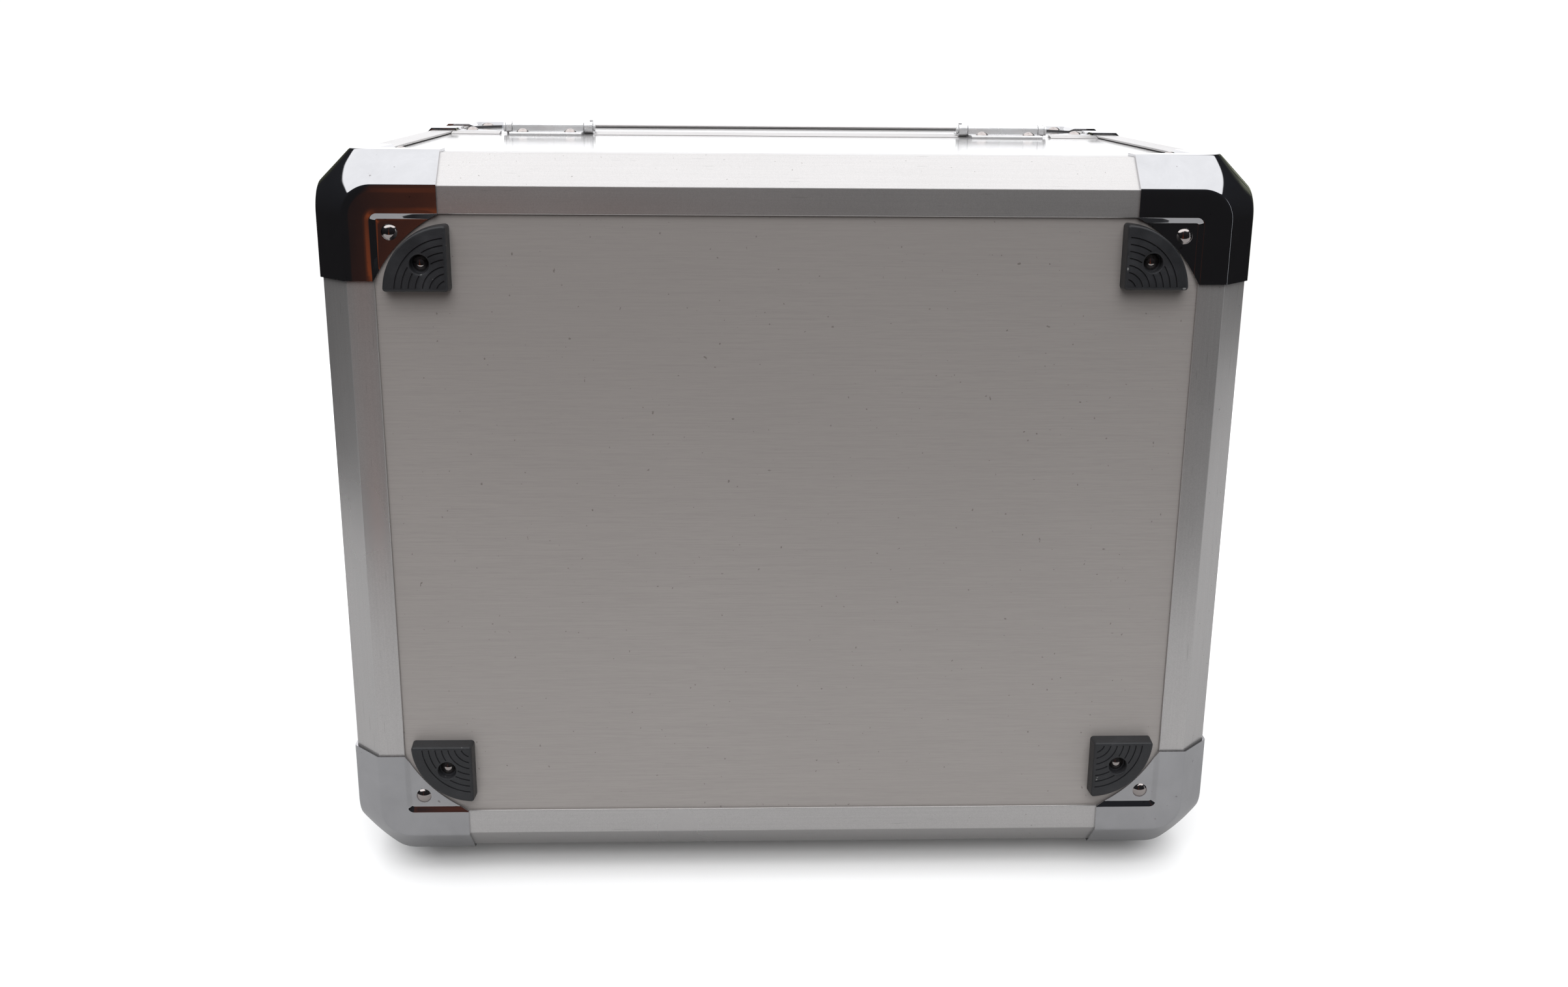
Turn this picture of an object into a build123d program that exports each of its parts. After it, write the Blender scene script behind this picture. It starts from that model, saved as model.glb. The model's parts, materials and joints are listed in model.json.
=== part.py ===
from build123d import *
import os
from math import cos, pi, radians, sin, sqrt

os.makedirs("parts", exist_ok=True)

# An aluminium framed carrying case for a radio transmitter, standing on its front (latch) side.
# X runs along the hinges, -Y is the bottom with the four feet, +Y is the lid, +Z is the rear wall.
# Origin: centre of the footprint, on the surface that the case stands on. All lengths in mm.

# ---------------------------------------------------------------- driving dimensions
width = 396.4          # over the frame extrusions, along X
height = 321.2         # front wall to rear wall, over the extrusions, along Z here
total_depth = 310.0    # bottom to lid top, over the extrusions, along Y here
base_share = 206.0     # bottom plane to parting plane
rim_gap = 0.6          # gap between the two rims
stand = 14.0           # height of the front wall's plane above the standing surface

flat = 11.5            # flat of the frame extrusion
bevel = 12.7           # 45 degree chamfer of the extrusion, measured on the flats
lip = 1.4              # flats stand this much proud of the panels
skin_t = 0.6           # brushed aluminium skin
board_t = 3.4          # board behind the skin
cut = 24.4             # extrusions stop this far from the outer planes

cap_t = 1.2            # chrome corner cap sheet
cap_leg = 52.0         # cap length along each edge
rivet_in = 31.7        # cap rivets, from both outer planes
rivet_r = 3.4
rivet_h = 1.8
dome_r = (rivet_r ** 2 + rivet_h ** 2) / (2 * rivet_h)
dome_mid = (rivet_r / 2, sqrt(dome_r ** 2 - rivet_r ** 2 / 4) + rivet_h - dome_r)

foot_r = 28.0
foot_t = 7.4
foot_hole = 12.0       # foot rivet, from both straight sides
foot_corners = {       # inner right-angle corner of each foot: x, z above the front wall's plane
    "foot_rear_left": (-142.0, 265.1),
    "foot_rear_right": (140.6, 267.0),
    "foot_front_left": (-142.3, 59.1),
    "foot_front_right": (141.7, 59.1),
}

hinge_x = 123.0        # hinge centres, each side
hinge_w = 38.0         # base leaf and its knuckle
knuckle_r = 3.0
axis_up = 3.5          # hinge axis above the panel's surface
pin_r = 1.5
leaf_t = 1.5

latch_x = 112.0
handle_x = 62.0        # handle bracket centres
handle_y = 98.0        # handle pivot, from the bottom plane

# ---------------------------------------------------------------- derived planes
edge = flat + bevel                         # inner edge of the flats
yb = -(total_depth + 1.6 - 6.0) / 2         # bottom frame plane
yp = yb + base_share                        # parting plane
yl = yb + total_depth                       # lid frame plane
zf = stand                                  # front wall's outer plane
zr = stand + height                         # rear wall's outer plane
xs = width / 2                              # side planes at +-xs
zc = (zf + zr) / 2
inner = lip + skin_t + board_t              # inner face of the boards, from the outer planes
base_end = yp - rim_gap / 2
lid_end = yp + rim_gap / 2
rear_face = zr - lip                        # rear panel surface
front_face = zf + lip                       # front panel surface
hinge_z = rear_face + axis_up

# Frame extrusion: outer flats and chamfer, inner web, and a groove for each board.
profile = [
    (edge, 0), (bevel, 0), (0, bevel), (0, edge), (lip, edge), (lip, 14.8), (inner, 14.8),
    (inner, 20), (6.8, 20), (6.8, 10), (10, 6.8), (20, 6.8), (20, inner), (14.8, inner),
    (14.8, lip), (edge, lip),
]


def place(points, p0, q0, sp, sq):
    """The points, drawn inwards from an outer corner at (p0, q0)."""
    return [(p0 + sp * s, q0 + sq * t) for s, t in points]


# Rivet spots on the panels.
cap_y = [(x, z) for x in (-xs + rivet_in, xs - rivet_in) for z in (zf + rivet_in, zr - rivet_in)]
base_cap_x = [(yb + rivet_in, z) for z in (zf + rivet_in, zr - rivet_in)]
base_cap_z = [(x, yb + rivet_in) for x in (-xs + rivet_in, xs - rivet_in)]
lid_cap_x = [(yl - rivet_in, z) for z in (zf + rivet_in, zr - rivet_in)]
lid_cap_z = [(x, yl - rivet_in) for x in (-xs + rivet_in, xs - rivet_in)]
rim_y = lid_end + 16.5
lid_rim_x = [(rim_y, z) for z in (zf + rivet_in, zr - rivet_in)]
lid_rim_z = [(x, rim_y) for x in (-xs + rivet_in, xs - rivet_in)]
foot_spots = [
    (x + (-foot_hole if x < 0 else foot_hole), zf + z + (foot_hole if z > height / 2 else -foot_hole))
    for x, z in foot_corners.values()
]
hinge_spots = [s * hinge_x + d for s in (-1, 1) for d in (-12.6, 12.6)]
base_hinge_y = yp - 10.6
lid_hinge_y = yp + 11.6
latch_spots = [(s * latch_x + d, yp + v) for s in (-1, 1) for d, v in ((0.0, -46.0), (-6.5, -11.6), (6.5, -11.6))]
strike_spots = [(s * latch_x + d, yp + 20.0) for s in (-1, 1) for d in (-8.0, 8.0)]
bracket_spots = [(s * handle_x + d, yb + handle_y + v) for s in (-1, 1) for d in (-11.0, 11.0) for v in (-10.0, 10.0)]

# ---------------------------------------------------------------- base: skins and boards
with BuildPart() as bottom_skin:
    with Locations((0, yb + lip + skin_t / 2, zc)):
        Box(width - 30, skin_t, height - 30)
    with Locations(*[Location((x, yb, z), (90, 0, 0)) for x, z in cap_y + foot_spots]):
        Cylinder(1.7, 12, mode=Mode.SUBTRACT)
bottom_skin.part.label = "bottom_skin"
export_step(bottom_skin.part, "parts/bottom_skin.step")

wall_len = base_end - 2.2 - (yb + 15)       # walls run from the groove to the rim rail's web
wall_mid = yb + 15 + wall_len / 2

with BuildPart() as base_rear_skin:
    with Locations((0, wall_mid, rear_face - skin_t / 2)):
        Box(width - 30, wall_len, skin_t)
    with Locations(*[(x, y, zr) for x, y in base_cap_z + [(x, base_hinge_y) for x in hinge_spots]]):
        Cylinder(1.7, 12, mode=Mode.SUBTRACT)
base_rear_skin.part.label = "base_rear_skin"
export_step(base_rear_skin.part, "parts/base_rear_skin.step")

with BuildPart() as base_front_skin:
    with Locations((0, wall_mid, front_face + skin_t / 2)):
        Box(width - 30, wall_len, skin_t)
    with Locations(*[(x, y, zf) for x, y in base_cap_z + latch_spots + bracket_spots]):
        Cylinder(1.7, 12, mode=Mode.SUBTRACT)
base_front_skin.part.label = "base_front_skin"
export_step(base_front_skin.part, "parts/base_front_skin.step")

with BuildPart() as base_left_skin:
    with Locations((-xs + lip + skin_t / 2, wall_mid, zc)):
        Box(skin_t, wall_len, height - 30)
    with Locations(*[Location((-xs, y, z), (0, 90, 0)) for y, z in base_cap_x]):
        Cylinder(1.7, 12, mode=Mode.SUBTRACT)
base_left_skin.part.label = "base_left_skin"
export_step(base_left_skin.part, "parts/base_left_skin.step")

with BuildPart() as base_right_skin:
    mirror(base_left_skin.part, about=Plane.YZ)
base_right_skin.part.label = "base_right_skin"
export_step(base_right_skin.part, "parts/base_right_skin.step")

board_in = lip + skin_t                     # outer face of the boards
with BuildPart() as base_boards:
    with Locations((0, yb + board_in + board_t / 2, zc)):
        Box(width - 30, board_t, height - 30)
    with Locations((0, wall_mid, zr - board_in - board_t / 2), (0, wall_mid, zf + board_in + board_t / 2)):
        Box(width - 30, wall_len, board_t)
    with Locations((-xs + board_in + board_t / 2, wall_mid, zc), (xs - board_in - board_t / 2, wall_mid, zc)):
        Box(board_t, wall_len, height - 30)
    with Locations(*[Location((x, yb, z), (90, 0, 0)) for x, z in cap_y + foot_spots]):
        Cylinder(1.7, 14, mode=Mode.SUBTRACT)
    with Locations(*[(x, y, zr) for x, y in base_cap_z + [(x, base_hinge_y) for x in hinge_spots]]):
        Cylinder(1.7, 14, mode=Mode.SUBTRACT)
    with Locations(*[(x, y, zf) for x, y in base_cap_z + latch_spots + bracket_spots]):
        Cylinder(1.7, 14, mode=Mode.SUBTRACT)
    with Locations(*[Location((x, y, z), (0, 90, 0)) for x in (-xs, xs) for y, z in base_cap_x]):
        Cylinder(1.7, 14, mode=Mode.SUBTRACT)
base_boards.part.label = "base_boards"
export_step(base_boards.part, "parts/base_boards.step")

# ---------------------------------------------------------------- base: frame extrusions
with BuildPart() as base_frame_rails:
    with BuildSketch(Plane.YZ):
        for q0, sq in ((zf, 1), (zr, -1)):
            with BuildLine():
                Polyline(*place(profile, yb, q0, 1, sq), close=True)
            make_face()
    extrude(amount=xs - cut, both=True)
    with BuildSketch(Plane.XY.offset(zf + cut)):
        for p0, sp in ((-xs, 1), (xs, -1)):
            with BuildLine():
                Polyline(*place(profile, p0, yb, sp, 1), close=True)
            make_face()
    extrude(amount=height - 2 * cut)
base_frame_rails.part.label = "base_frame_rails"
export_step(base_frame_rails.part, "parts/base_frame_rails.step")

with BuildPart() as base_corner_posts:
    with BuildSketch(Plane.XZ.offset(-(yb + cut))):
        for p0, sp in ((-xs, 1), (xs, -1)):
            for q0, sq in ((zf, 1), (zr, -1)):
                with BuildLine():
                    Polyline(*place(profile, p0, q0, sp, sq), close=True)
                make_face()
    extrude(amount=-(base_end - yb - cut))
base_corner_posts.part.label = "base_corner_posts"
export_step(base_corner_posts.part, "parts/base_corner_posts.step")

# Rim rail of the base: a channel over the board's edge with a tongue that enters the lid.
# Points are (distance back from the rim, depth from the outer plane).
base_rim = [
    (9, lip), (9, lip - 0.2), (3, 0), (0, 0), (0, 7.2), (-3.5, 7.2), (-3.5, 8.6), (2, 8.6),
    (2, 6.8), (6.5, 6.8), (6.5, inner), (2, inner), (2, lip),
]
with BuildPart() as base_rim_rails:
    with BuildSketch(Plane.YZ):
        for q0, sq in ((zf, 1), (zr, -1)):
            with BuildLine():
                Polyline(*place(base_rim, base_end, q0, -1, sq), close=True)
            make_face()
    extrude(amount=xs - cut, both=True)
    with BuildSketch(Plane.XY.offset(zf + cut)):
        for p0, sp in ((-xs, 1), (xs, -1)):
            with BuildLine():
                Polyline(*[(p0 + sp * t, base_end - s) for s, t in base_rim], close=True)
            make_face()
    extrude(amount=height - 2 * cut)
    with Locations((-hinge_x, base_end - 5, zr), (hinge_x, base_end - 5, zr)):
        Box(hinge_w + 12.4, 12, 2 * lip, mode=Mode.SUBTRACT)
    with Locations((-latch_x, base_end - 5, zf), (latch_x, base_end - 5, zf)):
        Box(39.0, 12, 2 * lip, mode=Mode.SUBTRACT)
base_rim_rails.part.label = "base_rim_rails"
export_step(base_rim_rails.part, "parts/base_rim_rails.step")

# ---------------------------------------------------------------- corner caps
# Core: the shape of the frame corner that a cap covers, and the same grown by the sheet's thickness.
core_bevel = bevel
shell_bevel = bevel + cap_t * (2 - sqrt(2))
cap_x, cap_yy, cap_z = -xs, yb, zr          # the rear left corner of the base

with BuildPart() as cap_core:
    with BuildSketch(Plane.XY.offset(cap_z - 70)):
        with BuildLine():
            Polyline((cap_x, cap_yy + 70), (cap_x, cap_yy + bevel), (cap_x + bevel, cap_yy),
                     (cap_x + 70, cap_yy), (cap_x + 70, cap_yy + 70), close=True)
        make_face()
    extrude(amount=70)
    with BuildSketch(Plane.YZ.offset(cap_x)):
        with BuildLine():
            Polyline((cap_yy, cap_z - 70), (cap_yy, cap_z - bevel), (cap_yy + bevel, cap_z),
                     (cap_yy + 70, cap_z), (cap_yy + 70, cap_z - 70), close=True)
        make_face()
    extrude(amount=70, mode=Mode.INTERSECT)
    with BuildSketch(Plane.XZ.offset(-cap_yy)):
        with BuildLine():
            Polyline((cap_x, cap_z - 70), (cap_x, cap_z - bevel), (cap_x + bevel, cap_z),
                     (cap_x + 70, cap_z), (cap_x + 70, cap_z - 70), close=True)
        make_face()
    extrude(amount=-70, mode=Mode.INTERSECT)
    apex = Vector(cap_x + bevel / 2, cap_yy + bevel / 2, cap_z - bevel / 2)
    fillet([e for e in cap_core.edges() if min((e @ 0 - apex).length, (e @ 1 - apex).length) < 0.01], radius=11.0)

ox, oy, oz = cap_x - cap_t, cap_yy - cap_t, cap_z + cap_t
leg = cap_leg + cap_t
with BuildPart() as base_cap_rear_left:
    with BuildSketch(Plane.XY.offset(oz - leg)):
        with BuildLine():
            Polyline((ox, oy + leg), (ox, oy + shell_bevel), (ox + shell_bevel, oy),
                     (ox + leg, oy), (ox + leg, oy + leg), close=True)
        make_face()
    extrude(amount=leg)
    with BuildSketch(Plane.YZ.offset(ox)):
        with BuildLine():
            Polyline((oy, oz - leg), (oy, oz - shell_bevel), (oy + shell_bevel, oz),
                     (oy + leg, oz), (oy + leg, oz - leg), close=True)
        make_face()
    extrude(amount=leg, mode=Mode.INTERSECT)
    with BuildSketch(Plane.XZ.offset(-oy)):
        with BuildLine():
            Polyline((ox, oz - leg), (ox, oz - shell_bevel), (ox + shell_bevel, oz),
                     (ox + leg, oz), (ox + leg, oz - leg), close=True)
        make_face()
    extrude(amount=-leg, mode=Mode.INTERSECT)
    apex = Vector(ox + shell_bevel / 2, oy + shell_bevel / 2, oz - shell_bevel / 2)
    fillet([e for e in base_cap_rear_left.edges() if min((e @ 0 - apex).length, (e @ 1 - apex).length) < 0.01],
           radius=11.0 + cap_t)
    add(cap_core.part, mode=Mode.SUBTRACT)
    # the flat band ends at the extrusion's inner edge on each of the three faces
    with Locations((cap_x + edge + 20, cap_yy, cap_z - edge - 20)):
        Box(40, 4 * cap_t, 40, mode=Mode.SUBTRACT)
    with Locations((cap_x, cap_yy + edge + 20, cap_z - edge - 20)):
        Box(4 * cap_t, 40, 40, mode=Mode.SUBTRACT)
    with Locations((cap_x + edge + 20, cap_yy + edge + 20, cap_z)):
        Box(40, 40, 4 * cap_t, mode=Mode.SUBTRACT)
    # wings stepped down on to the panels, each with a hollow curved edge
    for wing, sx, sy, back in (
        (Plane((cap_x, cap_yy + lip, cap_z), x_dir=(1, 0, 0), z_dir=(0, -1, 0)), 1, -1, cap_t + lip),
        (Plane((cap_x + lip, cap_yy, cap_z), x_dir=(0, 1, 0), z_dir=(-1, 0, 0)), 1, 1, cap_t + lip),
        (Plane((cap_x, cap_yy, cap_z - lip), x_dir=(1, 0, 0), z_dir=(0, 0, 1)), 1, 1, cap_t + lip),
    ):
        with BuildSketch(wing) as wing_sketch:
            with BuildLine():
                Line((sx * edge, sy * cap_leg), (sx * edge, sy * edge))
                Line((sx * edge, sy * edge), (sx * cap_leg, sy * edge))
                ThreePointArc((sx * cap_leg, sy * edge), (sx * 35.8, sy * 35.8), (sx * edge, sy * cap_leg))
            make_face()
        extrude(amount=back)
        with BuildSketch(wing.offset(cap_t)):
            with Locations((sx * (edge + cap_t + 20), sy * (edge + cap_t + 20))):
                Rectangle(40, 40)
        extrude(amount=3, mode=Mode.SUBTRACT)
        with Locations(wing.offset(0) * Location((sx * rivet_in, sy * rivet_in, 0))):
            Cylinder(1.7, 8, mode=Mode.SUBTRACT)
base_cap_rear_left.part.label = "base_cap_rear_left"
export_step(base_cap_rear_left.part, "parts/base_cap_rear_left.step")

with BuildPart() as base_cap_rear_right:
    mirror(base_cap_rear_left.part, about=Plane.YZ)
base_cap_rear_right.part.label = "base_cap_rear_right"
export_step(base_cap_rear_right.part, "parts/base_cap_rear_right.step")

with BuildPart() as base_cap_front_left:
    mirror(base_cap_rear_left.part, about=Plane.XY.offset(zc))
base_cap_front_left.part.label = "base_cap_front_left"
export_step(base_cap_front_left.part, "parts/base_cap_front_left.step")

with BuildPart() as base_cap_front_right:
    mirror(base_cap_front_left.part, about=Plane.YZ)
base_cap_front_right.part.label = "base_cap_front_right"
export_step(base_cap_front_right.part, "parts/base_cap_front_right.step")

lid_mirror = Plane((0, (yb + yl) / 2, 0), x_dir=(1, 0, 0), z_dir=(0, -1, 0))
with BuildPart() as lid_cap_rear_left:
    mirror(base_cap_rear_left.part, about=lid_mirror)
lid_cap_rear_left.part.label = "lid_cap_rear_left"
export_step(lid_cap_rear_left.part, "parts/lid_cap_rear_left.step")

with BuildPart() as lid_cap_rear_right:
    mirror(lid_cap_rear_left.part, about=Plane.YZ)
lid_cap_rear_right.part.label = "lid_cap_rear_right"
export_step(lid_cap_rear_right.part, "parts/lid_cap_rear_right.step")

with BuildPart() as lid_cap_front_left:
    mirror(lid_cap_rear_left.part, about=Plane.XY.offset(zc))
lid_cap_front_left.part.label = "lid_cap_front_left"
export_step(lid_cap_front_left.part, "parts/lid_cap_front_left.step")

with BuildPart() as lid_cap_front_right:
    mirror(lid_cap_front_left.part, about=Plane.YZ)
lid_cap_front_right.part.label = "lid_cap_front_right"
export_step(lid_cap_front_right.part, "parts/lid_cap_front_right.step")

# ---------------------------------------------------------------- rivets
# Domed rivet, head up, standing on the sheet at its origin. The shank ends in a formed tail.
with BuildPart() as cap_rivet:
    with BuildSketch(Plane.XZ):
        with BuildLine():
            Line((0, rivet_h), (0, -6.2))
            Polyline((0, -6.2), (2.4, -6.2), (2.4, -5.25), (1.6, -5.25), (1.6, 0), (rivet_r, 0))
            ThreePointArc((rivet_r, 0), dome_mid, (0, rivet_h))
        make_face()
    revolve(axis=Axis.Z)

with BuildPart() as fitting_rivet:
    with BuildSketch(Plane.XZ):
        with BuildLine():
            Line((0, rivet_h), (0, -6.5))
            Polyline((0, -6.5), (2.4, -6.5), (2.4, -5.55), (1.6, -5.55), (1.6, 0), (rivet_r, 0))
            ThreePointArc((rivet_r, 0), dome_mid, (0, rivet_h))
        make_face()
    revolve(axis=Axis.Z)

wing_out = lip - cap_t                       # cap wing's outer face, from the outer planes
with BuildPart() as base_cap_rivets:
    with Locations(*[Location((x, yb + wing_out, z), (90, 0, 0)) for x, z in cap_y]):
        add(cap_rivet.part)
    with Locations(*[Location((x, y, zr - wing_out)) for x, y in base_cap_z]):
        add(cap_rivet.part)
    with Locations(*[Location((x, y, zf + wing_out), (180, 0, 0)) for x, y in base_cap_z]):
        add(cap_rivet.part)
    with Locations(*[Location((-xs + wing_out, y, z), (0, -90, 0)) for y, z in base_cap_x]):
        add(cap_rivet.part)
    with Locations(*[Location((xs - wing_out, y, z), (0, 90, 0)) for y, z in base_cap_x]):
        add(cap_rivet.part)
base_cap_rivets.part.label = "base_cap_rivets"
export_step(base_cap_rivets.part, "parts/base_cap_rivets.step")

with BuildPart() as lid_cap_rivets:
    with Locations(*[Location((x, yl - wing_out, z), (-90, 0, 0)) for x, z in cap_y]):
        add(cap_rivet.part)
    with Locations(*[Location((x, y, zr - wing_out)) for x, y in lid_cap_z + lid_rim_z]):
        add(cap_rivet.part)
    with Locations(*[Location((x, y, zf + wing_out), (180, 0, 0)) for x, y in lid_cap_z + lid_rim_z]):
        add(cap_rivet.part)
    with Locations(*[Location((-xs + wing_out, y, z), (0, -90, 0)) for y, z in lid_cap_x + lid_rim_x]):
        add(cap_rivet.part)
    with Locations(*[Location((xs - wing_out, y, z), (0, 90, 0)) for y, z in lid_cap_x + lid_rim_x]):
        add(cap_rivet.part)
lid_cap_rivets.part.label = "lid_cap_rivets"
export_step(lid_cap_rivets.part, "parts/lid_cap_rivets.step")

# ---------------------------------------------------------------- feet
# Quarter-round foot: arc towards the case corner, grooves about the inner corner, recessed rivet.
for foot_name, (fx, fz) in foot_corners.items():
    hx = -1 if fx < 0 else 1
    hz = 1 if fz > height / 2 else -1
    face = Plane((fx, yb + lip, zf + fz), x_dir=(hx, 0, 0), z_dir=(0, -1, 0))
    hy = hz * (1 if face.y_dir.Z > 0 else -1)
    with BuildPart() as foot:
        with BuildSketch(face):
            with BuildLine():
                Line((0, 0), (foot_r, 0))
                ThreePointArc((foot_r, 0), (foot_r * cos(pi / 4), hy * foot_r * sin(pi / 4)), (0, hy * foot_r))
                Line((0, hy * foot_r), (0, 0))
            make_face()
        extrude(amount=foot_t, taper=3)
        with BuildSketch(face.offset(foot_t)):
            for ring in (4.9, 7.8, 10.7, 13.6, 16.5, 19.4, 22.3):
                with BuildLine():
                    Line((1.0, hy * sqrt(ring ** 2 - 1)), (1.0, hy * sqrt((ring + 0.6) ** 2 - 1)))
                    RadiusArc((1.0, hy * sqrt((ring + 0.6) ** 2 - 1)), (sqrt((ring + 0.6) ** 2 - 1), hy), hy * (ring + 0.6))
                    Line((sqrt((ring + 0.6) ** 2 - 1), hy), (sqrt(ring ** 2 - 1), hy))
                    RadiusArc((sqrt(ring ** 2 - 1), hy), (1.0, hy * sqrt(ring ** 2 - 1)), -hy * ring)
                make_face()
            with Locations((foot_hole, hy * foot_hole)):
                Circle(5.4, mode=Mode.SUBTRACT)
        extrude(amount=-0.8, mode=Mode.SUBTRACT)
        with Locations(face.offset(foot_t) * Location((foot_hole, hy * foot_hole, 0))):
            CounterBoreHole(radius=1.7, counter_bore_radius=4.2, counter_bore_depth=4.4)
    foot.part.label = foot_name
    export_step(foot.part, f"parts/{foot_name}.step")

# Rivets in the feet: the head sits on the counterbore's floor, the shank goes through foot and panel.
floor_up = foot_t - 4.4
with BuildPart() as foot_rivet:
    with BuildSketch(Plane.XZ):
        with BuildLine():
            tail = -(floor_up + skin_t + board_t)
            Line((0, rivet_h), (0, tail - 1.0))
            Polyline((0, tail - 1.0), (2.4, tail - 1.0), (2.4, tail - 0.05), (1.6, tail - 0.05), (1.6, 0), (rivet_r, 0))
            ThreePointArc((rivet_r, 0), dome_mid, (0, rivet_h))
        make_face()
    revolve(axis=Axis.Z)

with BuildPart() as foot_rivets:
    with Locations(*[Location((x, yb + lip - floor_up, z), (90, 0, 0)) for x, z in foot_spots]):
        add(foot_rivet.part)
foot_rivets.part.label = "foot_rivets"
export_step(foot_rivets.part, "parts/foot_rivets.step")

# ---------------------------------------------------------------- hinges
# Left hinge; the right one is its mirror image. The base leaf's knuckle runs its whole width,
# and the lid leaf has a knuckle at each end, the inner one with a stop lug.
hx0, hx1 = -hinge_x - hinge_w / 2, -hinge_x + hinge_w / 2
with BuildPart() as hinge_left_base_leaf:
    with BuildSketch(Plane.YZ.offset(hx0)):
        with BuildLine():
            Polyline((yp - 17, rear_face), (yp - 0.6, rear_face), (yp - 0.6, hinge_z), (yp - knuckle_r, hinge_z),
                     (yp - knuckle_r, rear_face + leaf_t), (yp - 16.4, rear_face + leaf_t), (yp - 17, rear_face + leaf_t - 0.6), close=True)
        make_face()
        with Locations((yp, hinge_z)):
            Circle(knuckle_r)
            Circle(pin_r + 0.05, mode=Mode.SUBTRACT)
    extrude(amount=hinge_w)
    with Locations(*[(x, base_hinge_y, rear_face) for x in hinge_spots[:2]]):
        Cylinder(1.7, 8, mode=Mode.SUBTRACT)
hinge_left_base_leaf.part.label = "hinge_left_base_leaf"
export_step(hinge_left_base_leaf.part, "parts/hinge_left_base_leaf.step")

with BuildPart() as hinge_right_base_leaf:
    mirror(hinge_left_base_leaf.part, about=Plane.YZ)
hinge_right_base_leaf.part.label = "hinge_right_base_leaf"
export_step(hinge_right_base_leaf.part, "parts/hinge_right_base_leaf.step")

kn_in, kn_out = 4.4, 3.0                     # lid leaf knuckles, inner and outer end
with BuildPart() as hinge_left_lid_leaf:
    with BuildSketch(Plane.XY.offset(rear_face)):
        with Locations((-hinge_x + (kn_in - kn_out) / 2, yp + 3.8 + 7.2)):
            Rectangle(hinge_w + kn_in + kn_out + 0.8, 14.4)
    extrude(amount=leaf_t)
    for x0, length in ((hx1 + 0.4, kn_in), (hx0 - 0.4 - kn_out, kn_out)):
        with BuildSketch(Plane.YZ.offset(x0)):
            with Locations((yp, hinge_z)):
                Circle(knuckle_r)
            with BuildLine():
                Polyline((yp, hinge_z), (yp + knuckle_r, hinge_z), (yp + 4.2, rear_face + leaf_t),
                         (yp + 4.2, rear_face), (yp + 0.9, rear_face), (yp + 0.9, hinge_z - 1), close=True)
            make_face()
            with Locations((yp, hinge_z)):
                Circle(pin_r + 0.05, mode=Mode.SUBTRACT)
        extrude(amount=length)
    with Locations((hx1 + 0.4 + kn_in - 0.8, yp + 1.1, hinge_z + 2.9)):
        Box(1.6, 1.8, 1.8)
    with Locations(*[(x, lid_hinge_y, rear_face) for x in hinge_spots[:2]]):
        Cylinder(1.7, 8, mode=Mode.SUBTRACT)
hinge_left_lid_leaf.part.label = "hinge_left_lid_leaf"
export_step(hinge_left_lid_leaf.part, "parts/hinge_left_lid_leaf.step")

with BuildPart() as hinge_right_lid_leaf:
    mirror(hinge_left_lid_leaf.part, about=Plane.YZ)
hinge_right_lid_leaf.part.label = "hinge_right_lid_leaf"
export_step(hinge_right_lid_leaf.part, "parts/hinge_right_lid_leaf.step")

with BuildPart() as hinge_pins:
    pin_a, pin_b = hx0 - 0.4 - kn_out - 0.3, hx1 + 0.4 + kn_in + 0.3
    for sx in (-1, 1):
        with BuildSketch(Plane.YZ.offset(pin_a if sx < 0 else -pin_b)):
            with Locations((yp, hinge_z)):
                Circle(pin_r)
        extrude(amount=pin_b - pin_a)
        with BuildSketch(Plane.YZ.offset(pin_a - 1.2 if sx < 0 else -pin_a)):
            with Locations((yp, hinge_z)):
                Circle(2.5)
        extrude(amount=1.2)
        with BuildSketch(Plane.YZ.offset(pin_b if sx < 0 else -pin_b - 1.0)):
            with Locations((yp, hinge_z)):
                Circle(2.1)
        extrude(amount=1.0)
hinge_pins.part.label = "hinge_pins"
export_step(hinge_pins.part, "parts/hinge_pins.step")

with BuildPart() as base_hinge_rivets:
    with Locations(*[(x, base_hinge_y, rear_face + leaf_t) for x in hinge_spots]):
        add(fitting_rivet.part)
base_hinge_rivets.part.label = "base_hinge_rivets"
export_step(base_hinge_rivets.part, "parts/base_hinge_rivets.step")

# ---------------------------------------------------------------- lid
lid_wall = (yl - 15) - (lid_end + 2.2)
lid_mid = lid_end + 2.2 + lid_wall / 2

with BuildPart() as lid_top_skin:
    with Locations((0, yl - lip - skin_t / 2, zc)):
        Box(width - 30, skin_t, height - 30)
    with Locations(*[Location((x, yl, z), (90, 0, 0)) for x, z in cap_y]):
        Cylinder(1.7, 12, mode=Mode.SUBTRACT)
lid_top_skin.part.label = "lid_top_skin"
export_step(lid_top_skin.part, "parts/lid_top_skin.step")

with BuildPart() as lid_rear_skin:
    with Locations((0, lid_mid, rear_face - skin_t / 2)):
        Box(width - 30, lid_wall, skin_t)
    with Locations(*[(x, y, zr) for x, y in lid_cap_z + lid_rim_z + [(x, lid_hinge_y) for x in hinge_spots]]):
        Cylinder(1.7, 12, mode=Mode.SUBTRACT)
lid_rear_skin.part.label = "lid_rear_skin"
export_step(lid_rear_skin.part, "parts/lid_rear_skin.step")

with BuildPart() as lid_front_skin:
    with Locations((0, lid_mid, front_face + skin_t / 2)):
        Box(width - 30, lid_wall, skin_t)
    with Locations(*[(x, y, zf) for x, y in lid_cap_z + lid_rim_z + strike_spots]):
        Cylinder(1.7, 12, mode=Mode.SUBTRACT)
lid_front_skin.part.label = "lid_front_skin"
export_step(lid_front_skin.part, "parts/lid_front_skin.step")

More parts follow.
